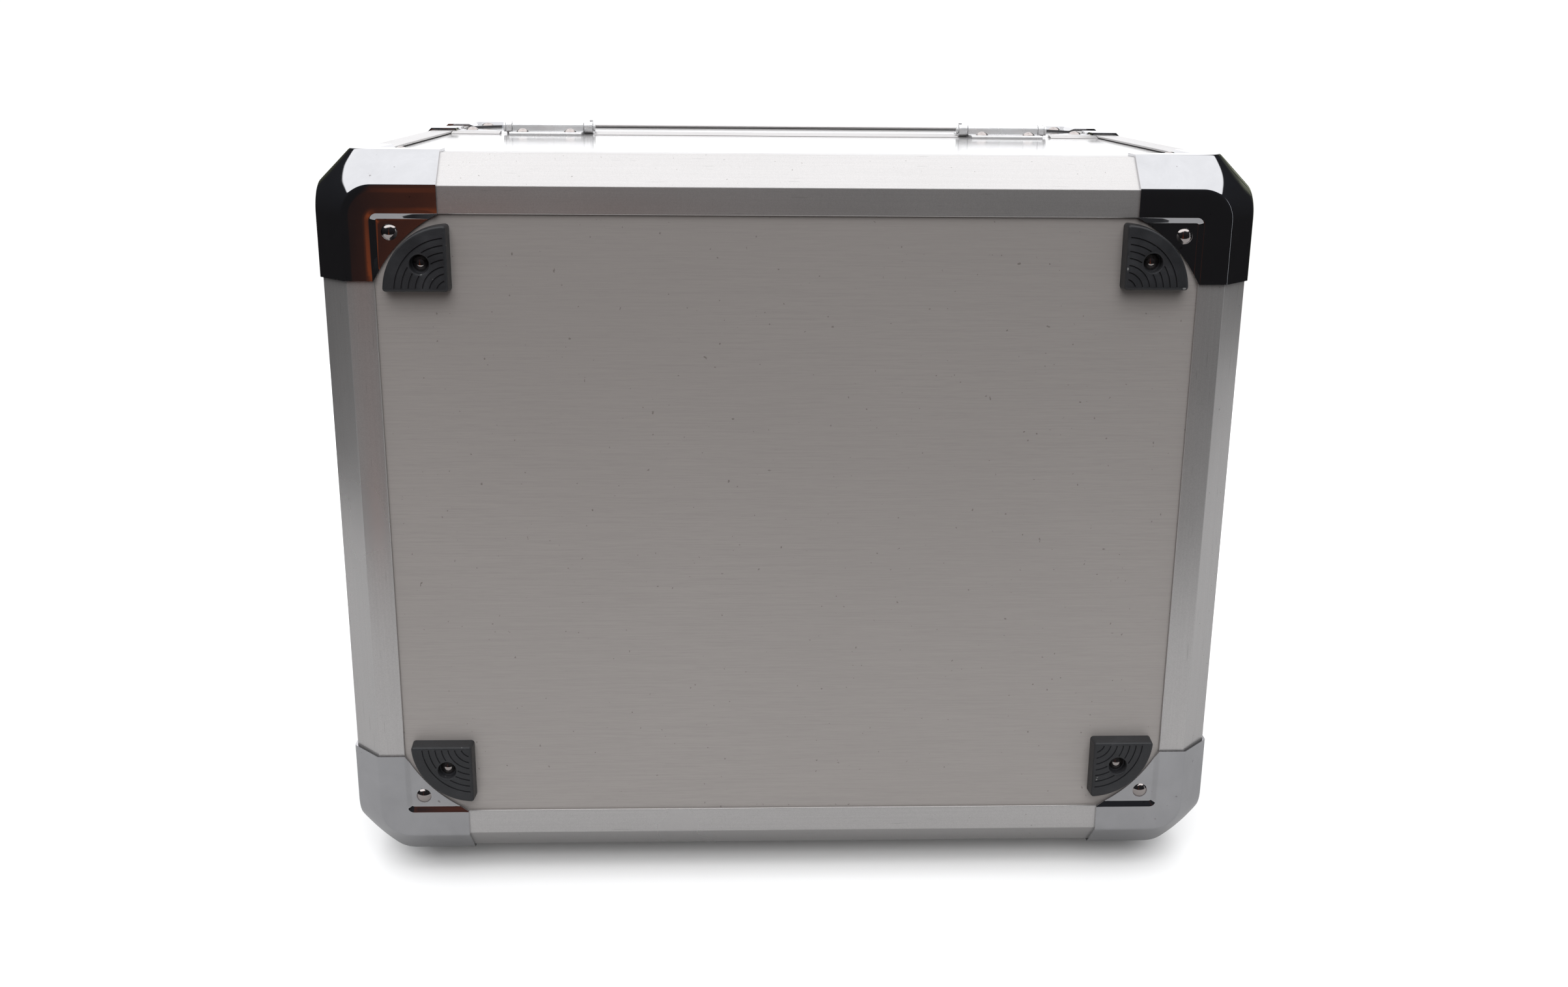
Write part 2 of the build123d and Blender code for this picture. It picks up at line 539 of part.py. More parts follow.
with BuildPart() as lid_left_skin:
    with Locations((-xs + lip + skin_t / 2, lid_mid, zc)):
        Box(skin_t, lid_wall, height - 30)
    with Locations(*[Location((-xs, y, z), (0, 90, 0)) for y, z in lid_cap_x + lid_rim_x]):
        Cylinder(1.7, 12, mode=Mode.SUBTRACT)
lid_left_skin.part.label = "lid_left_skin"
export_step(lid_left_skin.part, "parts/lid_left_skin.step")

with BuildPart() as lid_right_skin:
    mirror(lid_left_skin.part, about=Plane.YZ)
lid_right_skin.part.label = "lid_right_skin"
export_step(lid_right_skin.part, "parts/lid_right_skin.step")

with BuildPart() as lid_boards:
    with Locations((0, yl - board_in - board_t / 2, zc)):
        Box(width - 30, board_t, height - 30)
    with Locations((0, lid_mid, zr - board_in - board_t / 2), (0, lid_mid, zf + board_in + board_t / 2)):
        Box(width - 30, lid_wall, board_t)
    with Locations((-xs + board_in + board_t / 2, lid_mid, zc), (xs - board_in - board_t / 2, lid_mid, zc)):
        Box(board_t, lid_wall, height - 30)
    with Locations(*[Location((x, yl, z), (90, 0, 0)) for x, z in cap_y]):
        Cylinder(1.7, 14, mode=Mode.SUBTRACT)
    with Locations(*[(x, y, zr) for x, y in lid_cap_z + lid_rim_z + [(x, lid_hinge_y) for x in hinge_spots]]):
        Cylinder(1.7, 14, mode=Mode.SUBTRACT)
    with Locations(*[(x, y, zf) for x, y in lid_cap_z + lid_rim_z + strike_spots]):
        Cylinder(1.7, 14, mode=Mode.SUBTRACT)
    with Locations(*[Location((x, y, z), (0, 90, 0)) for x in (-xs, xs) for y, z in lid_cap_x + lid_rim_x]):
        Cylinder(1.7, 14, mode=Mode.SUBTRACT)
lid_boards.part.label = "lid_boards"
export_step(lid_boards.part, "parts/lid_boards.step")

with BuildPart() as lid_frame_rails:
    mirror(base_frame_rails.part, about=lid_mirror)
lid_frame_rails.part.label = "lid_frame_rails"
export_step(lid_frame_rails.part, "parts/lid_frame_rails.step")

with BuildPart() as lid_corner_posts:
    with BuildSketch(Plane.XZ.offset(-lid_end)):
        for p0, sp in ((-xs, 1), (xs, -1)):
            for q0, sq in ((zf, 1), (zr, -1)):
                with BuildLine():
                    Polyline(*place(profile, p0, q0, sp, sq), close=True)
                make_face()
    extrude(amount=-(yl - cut - lid_end))
lid_corner_posts.part.label = "lid_corner_posts"
export_step(lid_corner_posts.part, "parts/lid_corner_posts.step")

# Rim rail of the lid: a channel over the board's edge; the base's tongue passes inside it.
lid_rim = [
    (9, lip), (9, lip - 0.2), (3, 0), (0, 0), (0, 6.6), (6.5, 6.6), (6.5, inner), (2, inner), (2, lip),
]
with BuildPart() as lid_rim_rails:
    with BuildSketch(Plane.YZ):
        for q0, sq in ((zf, 1), (zr, -1)):
            with BuildLine():
                Polyline(*place(lid_rim, lid_end, q0, 1, sq), close=True)
            make_face()
    extrude(amount=xs - cut, both=True)
    with BuildSketch(Plane.XY.offset(zf + cut)):
        for p0, sp in ((-xs, 1), (xs, -1)):
            with BuildLine():
                Polyline(*[(p0 + sp * t, lid_end + s) for s, t in lid_rim], close=True)
            make_face()
    extrude(amount=height - 2 * cut)
    with Locations((-hinge_x, lid_end + 5, zr), (hinge_x, lid_end + 5, zr)):
        Box(hinge_w + 12.4, 12, 2 * lip, mode=Mode.SUBTRACT)
    with Locations((-latch_x, lid_end + 5, zf), (latch_x, lid_end + 5, zf)):
        Box(27.0, 12, 2 * lip, mode=Mode.SUBTRACT)
    # the rim corner plates' wings lie on the panels beside the posts
    with Locations(*[(x, lid_end + 5, z) for x in (-xs + edge + 13, xs - edge - 13) for z in (zf, zr)]):
        Box(27, 12, 2 * lip, mode=Mode.SUBTRACT)
    with Locations(*[(x, lid_end + 5, z) for x in (-xs, xs) for z in (zf + edge + 13, zr - edge - 13)]):
        Box(2 * lip, 12, 27, mode=Mode.SUBTRACT)
lid_rim_rails.part.label = "lid_rim_rails"
export_step(lid_rim_rails.part, "parts/lid_rim_rails.step")

# Rim corner plates: a sheet angle over each lid post at the rim, with a wing on each panel.
plate_y0 = lid_end + 0.3
plate_len = 26.0
with BuildPart() as lid_rim_plates:
    for sx in (-1, 1):
        for sz in (-1, 1):
            px, pz = sx * xs, (zr if sz > 0 else zf)
            t2 = bevel - cap_t * (sqrt(2) - 1)
            with BuildSketch(Plane.XZ.offset(-plate_y0)):
                with BuildLine():
                    Polyline(*place([(edge + cap_t, lip), (edge + cap_t, -cap_t), (t2, -cap_t), (-cap_t, t2),
                                     (-cap_t, edge + cap_t), (lip, edge + cap_t), (lip, edge), (0, edge), (0, bevel),
                                     (bevel, 0), (edge, 0), (edge, lip)], px, pz, -sx, -sz), close=True)
                make_face()
            extrude(amount=-plate_len)
            with BuildSketch(Plane.XY.offset(zr - lip if sz > 0 else zf + lip)):
                with BuildLine():
                    Polyline((px - sx * 47, plate_y0), (px - sx * (edge + 0.6), plate_y0),
                             (px - sx * (edge + 0.6), plate_y0 + plate_len))
                    ThreePointArc((px - sx * (edge + 0.6), plate_y0 + plate_len), (px - sx * 40.5, plate_y0 + 18.5),
                                  (px - sx * 47, plate_y0))
                make_face()
            extrude(amount=sz * cap_t)
            with BuildSketch(Plane.YZ.offset(px - sx * lip)):
                with BuildLine():
                    Polyline((plate_y0, pz - sz * 47), (plate_y0, pz - sz * (edge + 0.6)),
                             (plate_y0 + plate_len, pz - sz * (edge + 0.6)))
                    ThreePointArc((plate_y0 + plate_len, pz - sz * (edge + 0.6)), (plate_y0 + 18.5, pz - sz * 40.5),
                                  (plate_y0, pz - sz * 47))
                make_face()
            extrude(amount=sx * cap_t)
    with Locations(*[(x, y, z) for x, y in lid_rim_z for z in (zf, zr)]):
        Cylinder(1.7, 8, mode=Mode.SUBTRACT)
    with Locations(*[Location((x, y, z), (0, 90, 0)) for x in (-xs, xs) for y, z in lid_rim_x]):
        Cylinder(1.7, 8, mode=Mode.SUBTRACT)
lid_rim_plates.part.label = "lid_rim_plates"
export_step(lid_rim_plates.part, "parts/lid_rim_plates.step")

# ---------------------------------------------------------------- latches, on the front wall
# Heights are measured outwards (down) from the front panel's surface.
lever_v, lever_u = yp - 16.0, front_face - 8.0          # lever pivot
link_v, link_u = yp - 23.0, front_face - 6.0            # hook pivot on the lever
foot_u = front_face                                     # outward reach that touches the surface

with BuildPart() as latch_housing_left:
    with Locations((-latch_x, yp - 28, front_face - 0.8)):
        Box(38, 48, 1.6)
    for x0 in (-latch_x - 19, -latch_x + 17):
        with BuildSketch(Plane.YZ.offset(x0)):
            with BuildLine():
                Polyline((yp - 51, front_face - 1), (yp - 51, front_face - 8), (yp - 44, front_face - foot_u),
                         (yp - 18, front_face - foot_u), (yp - 9, front_face - 9), (yp - 9, front_face - 1), close=True)
            make_face()
            with Locations((lever_v, lever_u)):
                Circle(pin_r + 0.02, mode=Mode.SUBTRACT)
        extrude(amount=2)
    with Locations(*[(x, y, front_face) for x, y in latch_spots[:3]]):
        Cylinder(1.7, 8, mode=Mode.SUBTRACT)
latch_housing_left.part.label = "latch_housing_left"
export_step(latch_housing_left.part, "parts/latch_housing_left.step")

with BuildPart() as latch_housing_right:
    mirror(latch_housing_left.part, about=Plane.YZ)
latch_housing_right.part.label = "latch_housing_right"
export_step(latch_housing_right.part, "parts/latch_housing_right.step")

with BuildPart() as latch_pivot_pins:
    for x0 in (-latch_x - 19.6, -latch_x + 13.2, latch_x - 19.6, latch_x + 13.2):
        with BuildSketch(Plane.YZ.offset(x0)):
            with Locations((lever_v, lever_u)):
                Circle(pin_r)
        extrude(amount=6.4)
latch_pivot_pins.part.label = "latch_pivot_pins"
export_step(latch_pivot_pins.part, "parts/latch_pivot_pins.step")

with BuildPart() as latch_lever_left:
    # top plate, forked over the hook, with a turned-out finger edge
    with BuildSketch(Plane.YZ.offset(-latch_x - 16.4)):
        with BuildLine():
            Polyline((yp - 50, front_face - 13.0), (yp - 46, front_face - 12.6), (yp - 14, front_face - 12.6),
                     (yp - 14, front_face - 14.6), (yp - 46, front_face - 14.6), (yp - 50, front_face - 14.9), close=True)
        make_face()
    extrude(amount=32.8)
    # slot in the plate: the hook leans back through it when the lever is fully open
    with Locations((-latch_x, yp - 20.5, front_face - 13.5)):
        Box(19.6, 19, 5, mode=Mode.SUBTRACT)
    for x0 in (-latch_x - 16.4, -latch_x + 13.6):
        with BuildSketch(Plane.YZ.offset(x0)):
            with BuildLine():
                Polyline((yp - 44, front_face - 13.2), (yp - 14, front_face - 13.2), (yp - 12.2, front_face - 8),
                         (yp - 13.4, front_face - 5.0), (yp - 18, front_face - 4.2), (yp - 23, front_face - 3.1),
                         (yp - 25.8, front_face - 5), (yp - 27, front_face - 8), close=True)
            make_face()
            with Locations((lever_v, lever_u)):
                Circle(pin_r + 0.05, mode=Mode.SUBTRACT)
        extrude(amount=2.8)
    with BuildSketch(Plane.YZ.offset(-latch_x - 14)):
        with Locations((link_v, link_u)):
            Circle(pin_r)
    extrude(amount=28)
latch_lever_left.part.label = "latch_lever_left"
export_step(latch_lever_left.part, "parts/latch_lever_left.step")

with BuildPart() as latch_lever_right:
    mirror(latch_lever_left.part, about=Plane.YZ)
latch_lever_right.part.label = "latch_lever_right"
export_step(latch_lever_right.part, "parts/latch_lever_right.step")

with BuildPart() as latch_hook_left:
    with BuildSketch(Plane.YZ.offset(-latch_x - 9)):
        with BuildLine():
            Polyline((link_v, front_face - 4.5), (yp + 7.1, front_face - 4.5), (yp + 7.1, front_face - 1.9),
                     (yp + 9.6, front_face - 1.9), (yp + 9.6, front_face - 6.6), (yp + 8.6, front_face - 7.5),
                     (link_v, front_face - 7.5), close=True)
        make_face()
        with Locations((link_v, link_u)):
            Circle(2.9)
            Circle(pin_r + 0.05, mode=Mode.SUBTRACT)
    extrude(amount=18)
latch_hook_left.part.label = "latch_hook_left"
export_step(latch_hook_left.part, "parts/latch_hook_left.step")

with BuildPart() as latch_hook_right:
    mirror(latch_hook_left.part, about=Plane.YZ)
latch_hook_right.part.label = "latch_hook_right"
export_step(latch_hook_right.part, "parts/latch_hook_right.step")

with BuildPart() as latch_strikes:
    for sx in (-1, 1):
        with BuildSketch(Plane.YZ.offset(sx * latch_x - 13)):
            with BuildLine():
                Polyline((yp + 3.4, front_face), (yp + 26, front_face), (yp + 26, front_face - 1.5),
                         (yp + 6.4, front_face - 1.5), (yp + 6.4, front_face - 4.0), (yp + 4.4, front_face - 4.0),
                         (yp + 3.4, front_face - 3.0), close=True)
            make_face()
        extrude(amount=26)
    with Locations(*[(x, y, front_face) for x, y in strike_spots]):
        Cylinder(1.7, 8, mode=Mode.SUBTRACT)
latch_strikes.part.label = "latch_strikes"
export_step(latch_strikes.part, "parts/latch_strikes.step")

# ---------------------------------------------------------------- carrying handle, on the front wall
pivot_y, pivot_z = yb + handle_y, front_face - 8.4
with BuildPart() as handle_bracket_left:
    with Locations((-handle_x, pivot_y, front_face - 1.0)):
        Box(30, 30, 2.0)
    for x0 in (-handle_x - 7.6, -handle_x + 4.6):
        with BuildSketch(Plane.YZ.offset(x0)):
            with BuildLine():
                Polyline((pivot_y - 12, front_face - 1), (pivot_y - 7, front_face - foot_u),
                         (pivot_y + 7, front_face - foot_u), (pivot_y + 12, front_face - 1), close=True)
            make_face()
            with Locations((pivot_y, pivot_z)):
                Circle(2.52, mode=Mode.SUBTRACT)
        extrude(amount=3)
    with Locations(*[(x, y, front_face) for x, y in bracket_spots[:4]]):
        Cylinder(1.7, 8, mode=Mode.SUBTRACT)
handle_bracket_left.part.label = "handle_bracket_left"
export_step(handle_bracket_left.part, "parts/handle_bracket_left.step")

with BuildPart() as handle_bracket_right:
    mirror(handle_bracket_left.part, about=Plane.YZ)
handle_bracket_right.part.label = "handle_bracket_right"
export_step(handle_bracket_right.part, "parts/handle_bracket_right.step")

with BuildPart() as handle_pivot_pins:
    for x0 in (-handle_x - 8.4, handle_x - 8.4):
        with BuildSketch(Plane.YZ.offset(x0)):
            with Locations((pivot_y, pivot_z)):
                Circle(2.5)
        extrude(amount=16.8)
handle_pivot_pins.part.label = "handle_pivot_pins"
export_step(handle_pivot_pins.part, "parts/handle_pivot_pins.step")

grip_y = pivot_y - 36.0
with BuildPart() as handle_bail:
    for x0 in (-handle_x - 4.0, handle_x - 4.0):
        with BuildSketch(Plane.YZ.offset(x0)):
            with Locations((pivot_y, pivot_z)):
                Circle(5.8)
            with Locations(((pivot_y + grip_y) / 2, pivot_z)):
                Rectangle(36.0, 8.0)
            with Locations((grip_y, pivot_z)):
                Circle(5.8)
            with Locations((pivot_y, pivot_z)):
                Circle(2.55, mode=Mode.SUBTRACT)
        extrude(amount=8)
    with BuildSketch(Plane.YZ.offset(-handle_x)):
        with Locations((grip_y, pivot_z)):
            Circle(3.2)
    extrude(amount=2 * handle_x)
handle_bail.part.label = "handle_bail"
export_step(handle_bail.part, "parts/handle_bail.step")

with BuildPart() as handle_grip:
    with BuildSketch(Plane.YZ.offset(-handle_x + 4.4)):
        with Locations((grip_y, pivot_z)):
            Ellipse(11.0, 6.5)
            Circle(3.3, mode=Mode.SUBTRACT)
    extrude(amount=2 * handle_x - 8.8)
handle_grip.part.label = "handle_grip"
export_step(handle_grip.part, "parts/handle_grip.step")

# Rivets of the latches and the handle brackets.
low_r, low_h = 3.0, 1.4
low_dome = (low_r ** 2 + low_h ** 2) / (2 * low_h)
low_mid = (low_r / 2, sqrt(low_dome ** 2 - low_r ** 2 / 4) + low_h - low_dome)
with BuildPart() as latch_rivet:
    with BuildSketch(Plane.XZ):
        with BuildLine():
            Line((0, low_h), (0, -6.6))
            Polyline((0, -6.6), (2.4, -6.6), (2.4, -5.65), (1.6, -5.65), (1.6, 0), (low_r, 0))
            ThreePointArc((low_r, 0), low_mid, (0, low_h))
        make_face()
    revolve(axis=Axis.Z)

with BuildPart() as bracket_rivet:
    with BuildSketch(Plane.XZ):
        with BuildLine():
            Line((0, low_h), (0, -7.0))
            Polyline((0, -7.0), (2.4, -7.0), (2.4, -6.05), (1.6, -6.05), (1.6, 0), (low_r, 0))
            ThreePointArc((low_r, 0), low_mid, (0, low_h))
        make_face()
    revolve(axis=Axis.Z)

with BuildPart() as front_fitting_rivets:
    with Locations(*[Location((x, y, front_face - 1.6), (180, 0, 0)) for x, y in latch_spots]):
        add(latch_rivet.part)
    with Locations(*[Location((x, y, front_face - 2.0), (180, 0, 0)) for x, y in bracket_spots]):
        add(bracket_rivet.part)
front_fitting_rivets.part.label = "front_fitting_rivets"
export_step(front_fitting_rivets.part, "parts/front_fitting_rivets.step")

with BuildPart() as lid_fitting_rivets:
    with Locations(*[(x, lid_hinge_y, rear_face + leaf_t) for x in hinge_spots]):
        add(fitting_rivet.part)
    with Locations(*[Location((x, y, front_face - 1.5), (180, 0, 0)) for x, y in strike_spots]):
        add(fitting_rivet.part)
lid_fitting_rivets.part.label = "lid_fitting_rivets"
export_step(lid_fitting_rivets.part, "parts/lid_fitting_rivets.step")

# ---------------------------------------------------------------- foam lining
foam_s = 7.6                                 # foam stands this far inside the outer planes
foam_y0, foam_y1, foam_y2 = yb + foam_s, yb + 58.0, base_end - 8.0
with BuildPart() as foam_floor_pad:
    with Locations((0, (foam_y0 + foam_y1) / 2, zc)):
        Box(width - 2 * foam_s, foam_y1 - foam_y0, height - 2 * foam_s)
    chamfer(foam_floor_pad.edges().filter_by(Axis.Y), length=3.4)
    chamfer(foam_floor_pad.faces().sort_by(Axis.Y)[0].edges(), length=3.2)
foam_floor_pad.part.label = "foam_floor_pad"
export_step(foam_floor_pad.part, "parts/foam_floor_pad.step")

# Pockets: x from, x to, z from, z to (above the front wall's plane)
tx_pocket = (-158.0, 62.0, 40.0, 281.0)
side_pockets = [(86.0, 162.0, 40.0, 150.0), (86.0, 162.0, 172.0, 281.0)]
with BuildPart() as foam_insert:
    with Locations((0, (foam_y1 + 0.1 + foam_y2) / 2, zc)):
        Box(width - 2 * foam_s, foam_y2 - foam_y1 - 0.1, height - 2 * foam_s)
    chamfer(foam_insert.edges().filter_by(Axis.Y), length=3.4)
    for x0, x1, z0, z1 in [tx_pocket] + side_pockets:
        with BuildSketch(Plane.XZ.offset(-(foam_y2 + 1))):
            with Locations(((x0 + x1) / 2, zf + (z0 + z1) / 2)):
                RectangleRounded(x1 - x0, z1 - z0, 12)
        extrude(amount=foam_y2 - foam_y1 + 2, mode=Mode.SUBTRACT)
foam_insert.part.label = "foam_insert"
export_step(foam_insert.part, "parts/foam_insert.step")

with BuildPart() as lid_foam:
    with Locations((0, yl - foam_s - 14.0, zc)):
        Box(width - 2 * foam_s, 28.0, height - 2 * foam_s)
    chamfer(lid_foam.edges().filter_by(Axis.Y), length=3.4)
    chamfer(lid_foam.faces().sort_by(Axis.Y)[-1].edges(), length=3.2)
lid_foam.part.label = "lid_foam"
export_step(lid_foam.part, "parts/lid_foam.step")
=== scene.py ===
import json
import math
import bmesh
import bpy
import numpy as np
from mathutils import Matrix, Vector
from mathutils.geometry import delaunay_2d_cdt


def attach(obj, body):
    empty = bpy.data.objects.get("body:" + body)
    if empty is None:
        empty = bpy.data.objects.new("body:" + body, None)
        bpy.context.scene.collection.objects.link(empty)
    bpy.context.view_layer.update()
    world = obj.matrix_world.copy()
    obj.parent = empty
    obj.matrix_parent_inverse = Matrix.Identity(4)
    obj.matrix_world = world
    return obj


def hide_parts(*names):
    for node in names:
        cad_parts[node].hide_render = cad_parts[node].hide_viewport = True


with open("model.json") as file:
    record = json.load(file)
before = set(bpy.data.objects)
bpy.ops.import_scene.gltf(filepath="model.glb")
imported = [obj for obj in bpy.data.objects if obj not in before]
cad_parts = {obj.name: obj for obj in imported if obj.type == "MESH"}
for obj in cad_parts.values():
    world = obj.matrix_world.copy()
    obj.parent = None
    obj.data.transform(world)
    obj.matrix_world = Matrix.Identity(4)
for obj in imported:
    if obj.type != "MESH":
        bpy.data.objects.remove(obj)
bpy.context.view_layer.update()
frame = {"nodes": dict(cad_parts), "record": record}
NODES = frame["nodes"]

# ------------------------------------------------------------------ dimensions, in mm
W, H, DEPTH, SHARE, GAP = 396.4, 321.2, 310.0, 206.0, 0.6
ZF, XS = 14.0, 198.2
ZR = ZF + H
YB = -(DEPTH - 4.4) / 2
YP, YL = YB + SHARE, YB + DEPTH
BASE_END, LID_END = YP - GAP / 2, YP + GAP / 2
FLAT, BEVEL, LIP, SKIN, BOARD = 11.5, 12.7, 1.4, 0.6, 3.4
EDGE, CUT = FLAT + BEVEL, 24.4
INNER = LIP + SKIN + BOARD
CAP_T, RIVET_IN = 1.2, 31.7
REAR_FACE, FRONT_FACE = ZR - LIP, ZF + LIP
HINGE_X, LATCH_X, HANDLE_X, HANDLE_Y = 123.0, 112.0, 62.0, 98.0
FOAM_S = 7.6

# ------------------------------------------------------------------ camera
cam_data = bpy.data.cameras.new("camera")
cam = bpy.data.objects.new("camera", cam_data)
bpy.context.scene.collection.objects.link(cam)
pitch, yaw, roll = math.radians(16.0029), math.radians(-2.1236), math.radians(0.5367)
cp, sp, cy, sy, cr, sr = math.cos(pitch), math.sin(pitch), math.cos(yaw), math.sin(yaw), math.cos(roll), math.sin(roll)
R = (np.array([[cr, -sr, 0], [sr, cr, 0], [0, 0, 1]]) @ np.array([[1, 0, 0], [0, cp, -sp], [0, sp, cp]])
     @ np.array([[cy, 0, sy], [0, 1, 0], [-sy, 0, cy]]) @ np.array([[1, 0, 0], [0, 0, -1], [0, 1, 0]]))
m = Matrix.Identity(4)
for i in range(3):
    m[i][0], m[i][1], m[i][2] = R[0][i], -R[1][i], -R[2][i]
    m[i][3] = (-25.484, -793.433, 374.536)[i] / 1000
cam.matrix_world = m
cam_data.sensor_fit = "HORIZONTAL"
cam_data.sensor_width = 36.0
cam_data.lens = 36.0 * 2335.11 / 2408
cam_data.clip_start, cam_data.clip_end = 0.01, 50
bpy.context.scene.camera = cam
bpy.context.scene.view_settings.view_transform = "Standard"
bpy.context.scene.view_settings.look = "None"


# ------------------------------------------------------------------ node helpers
class Graph:
    """A material's node tree, with short calls for the nodes that the finishes share."""

    def __init__(self, name):
        self.mat = bpy.data.materials.new(name)
        self.mat.use_nodes = True
        self.t = self.mat.node_tree
        self.t.nodes.clear()
        self.out = self.t.nodes.new("ShaderNodeOutputMaterial")
        self.bsdf = self.t.nodes.new("ShaderNodeBsdfPrincipled")
        self.t.links.new(self.bsdf.outputs[0], self.out.inputs["Surface"])
        self.coord = self.t.nodes.new("ShaderNodeTexCoord").outputs["Object"]

    def link(self, a, b):
        self.t.links.new(a, b)

    def set(self, **values):
        for k, v in values.items():
            self.bsdf.inputs[k.replace("_", " ")].default_value = v

    def mapped(self, scale, turn=(0, 0, 0), shift=(0, 0, 0)):
        n = self.t.nodes.new("ShaderNodeMapping")
        n.inputs["Scale"].default_value = scale
        n.inputs["Rotation"].default_value = turn
        n.inputs["Location"].default_value = shift
        self.link(self.coord, n.inputs["Vector"])
        return n.outputs["Vector"]

    def noise(self, vector, scale=1.0, detail=2.0, rough=0.5, distort=0.0):
        n = self.t.nodes.new("ShaderNodeTexNoise")
        n.inputs["Scale"].default_value = scale
        n.inputs["Detail"].default_value = detail
        n.inputs["Roughness"].default_value = rough
        n.inputs["Distortion"].default_value = distort
        self.link(vector, n.inputs["Vector"])
        return n.outputs["Fac"]

    def cells(self, vector, scale=1.0, feature="F1", random=1.0):
        n = self.t.nodes.new("ShaderNodeTexVoronoi")
        n.feature = feature
        n.inputs["Scale"].default_value = scale
        n.inputs["Randomness"].default_value = random
        self.link(vector, n.inputs["Vector"])
        return n.outputs["Distance"]

    def ramp(self, fac, stops, interp="LINEAR"):
        n = self.t.nodes.new("ShaderNodeValToRGB")
        n.color_ramp.interpolation = interp
        e = n.color_ramp.elements
        while len(e) < len(stops):
            e.new(0.5)
        for el, (pos, col) in zip(e, stops):
            el.position = pos
            el.color = (*col, 1) if hasattr(col, "__len__") else (col, col, col, 1)
        self.link(fac, n.inputs["Fac"])
        return n.outputs["Color"]

    def span(self, fac, a, b, lo, hi):
        n = self.t.nodes.new("ShaderNodeMapRange")
        for k, v in (("From Min", a), ("From Max", b), ("To Min", lo), ("To Max", hi)):
            n.inputs[k].default_value = v
        self.link(fac, n.inputs["Value"])
        return n.outputs["Result"]

    def mix(self, fac, a, b, how="MIX"):
        n = self.t.nodes.new("ShaderNodeMix")
        n.data_type = "RGBA"
        n.blend_type = how
        for key, v in ((0, fac), (6, a), (7, b)):
            if isinstance(v, (int, float)):
                n.inputs[key].default_value = v
            elif isinstance(v, tuple):
                n.inputs[key].default_value = (*v, 1)
            else:
                self.link(v, n.inputs[key])
        return n.outputs[2]

    def math(self, how, a, b=None):
        n = self.t.nodes.new("ShaderNodeMath")
        n.operation = how
        for i, v in enumerate((a, b)):
            if v is None:
                continue
            if isinstance(v, (int, float)):
                n.inputs[i].default_value = v
            else:
                self.link(v, n.inputs[i])
        return n.outputs[0]

    def bump(self, height, strength, distance, normal=None):
        n = self.t.nodes.new("ShaderNodeBump")
        n.inputs["Strength"].default_value = strength
        n.inputs["Distance"].default_value = distance
        self.link(height, n.inputs["Height"])
        if normal is not None:
            self.link(normal, n.inputs["Normal"])
        self.link(n.outputs["Normal"], self.bsdf.inputs["Normal"])
        return n.outputs["Normal"]


def along(axis, length, across):
    return tuple(length if i == axis else across for i in range(3))


def brushed(name, axis, tint=(0.40, 0.373, 0.358), rough=(0.50, 0.42), metal=0.5, coat=0.0):
    """Brushed aluminium sheet: hairlines along one axis, faint clouds and a few dark specks."""
    g = Graph(name)
    long_lines = g.noise(g.mapped(along(axis, 34, 1900)), detail=3.0, rough=0.62)
    short_lines = g.noise(g.mapped(along(axis, 120, 4200), shift=(3, 5, 7)), detail=2.0, rough=0.6)
    cloud = g.noise(g.mapped((7, 7, 7)), detail=2.0)
    lines = g.math("ADD", g.math("MULTIPLY", long_lines, 0.55), g.math("MULTIPLY", short_lines, 0.45))
    dark = tuple(c * 0.93 for c in tint)
    light = tuple(min(1.0, c * 1.05) for c in tint)
    col = g.ramp(lines, [(0.34, dark), (0.5, tint), (0.66, light)])
    col = g.mix(g.span(cloud, 0.35, 0.7, 0.0, 0.35), col, tuple(c * 0.93 for c in tint))
    speck = g.noise(g.mapped((520, 520, 520)), detail=1.0)
    col = g.mix(g.span(speck, 0.765, 0.80, 0.0, 0.55), col, (0.13, 0.115, 0.10))
    g.link(col, g.bsdf.inputs["Base Color"])
    g.set(Metallic=metal, Coat_Weight=coat, Coat_Roughness=0.10)
    g.link(g.span(lines, 0.3, 0.7, rough[0], rough[1]), g.bsdf.inputs["Roughness"])
    g.bump(lines, 0.16, 0.00006)
    return g.mat


def satin(name, axis, tint=(0.60, 0.585, 0.58)):
    """Satin anodised extrusion: fine grain, draw lines along its length, light scratches and specks."""
    g = Graph(name)
    grain = g.noise(g.mapped((2300, 2300, 2300)), detail=2.0, rough=0.7)
    draw = g.noise(g.mapped(along(axis, 9, 1500), shift=(1, 2, 3)), detail=2.0, rough=0.6)
    cloud = g.noise(g.mapped((14, 14, 14)), detail=3.0)
    col = g.ramp(grain, [(0.32, tuple(c * 0.92 for c in tint)), (0.5, tint), (0.68, tuple(c * 1.05 for c in tint))])
    col = g.mix(g.span(draw, 0.35, 0.7, 0.0, 0.30), col, tuple(c * 0.86 for c in tint))
    scratch = g.noise(g.mapped(along(axis, 60, 900), turn=(0.05, 0.04, 0.06), shift=(9, 4, 1)), detail=1.0)
    col = g.mix(g.span(scratch, 0.72, 0.76, 0.0, 0.30), col, tuple(c * 0.55 for c in tint))
    speck = g.noise(g.mapped((700, 700, 700), shift=(2, 8, 5)), detail=1.0)
    col = g.mix(g.span(speck, 0.77, 0.80, 0.0, 0.5), col, (0.14, 0.12, 0.11))
    g.link(col, g.bsdf.inputs["Base Color"])
    g.set(Metallic=0.80)
    g.link(g.span(cloud, 0.3, 0.7, 0.26, 0.34), g.bsdf.inputs["Roughness"])
    g.bump(grain, 0.15, 0.00005)
    return g.mat


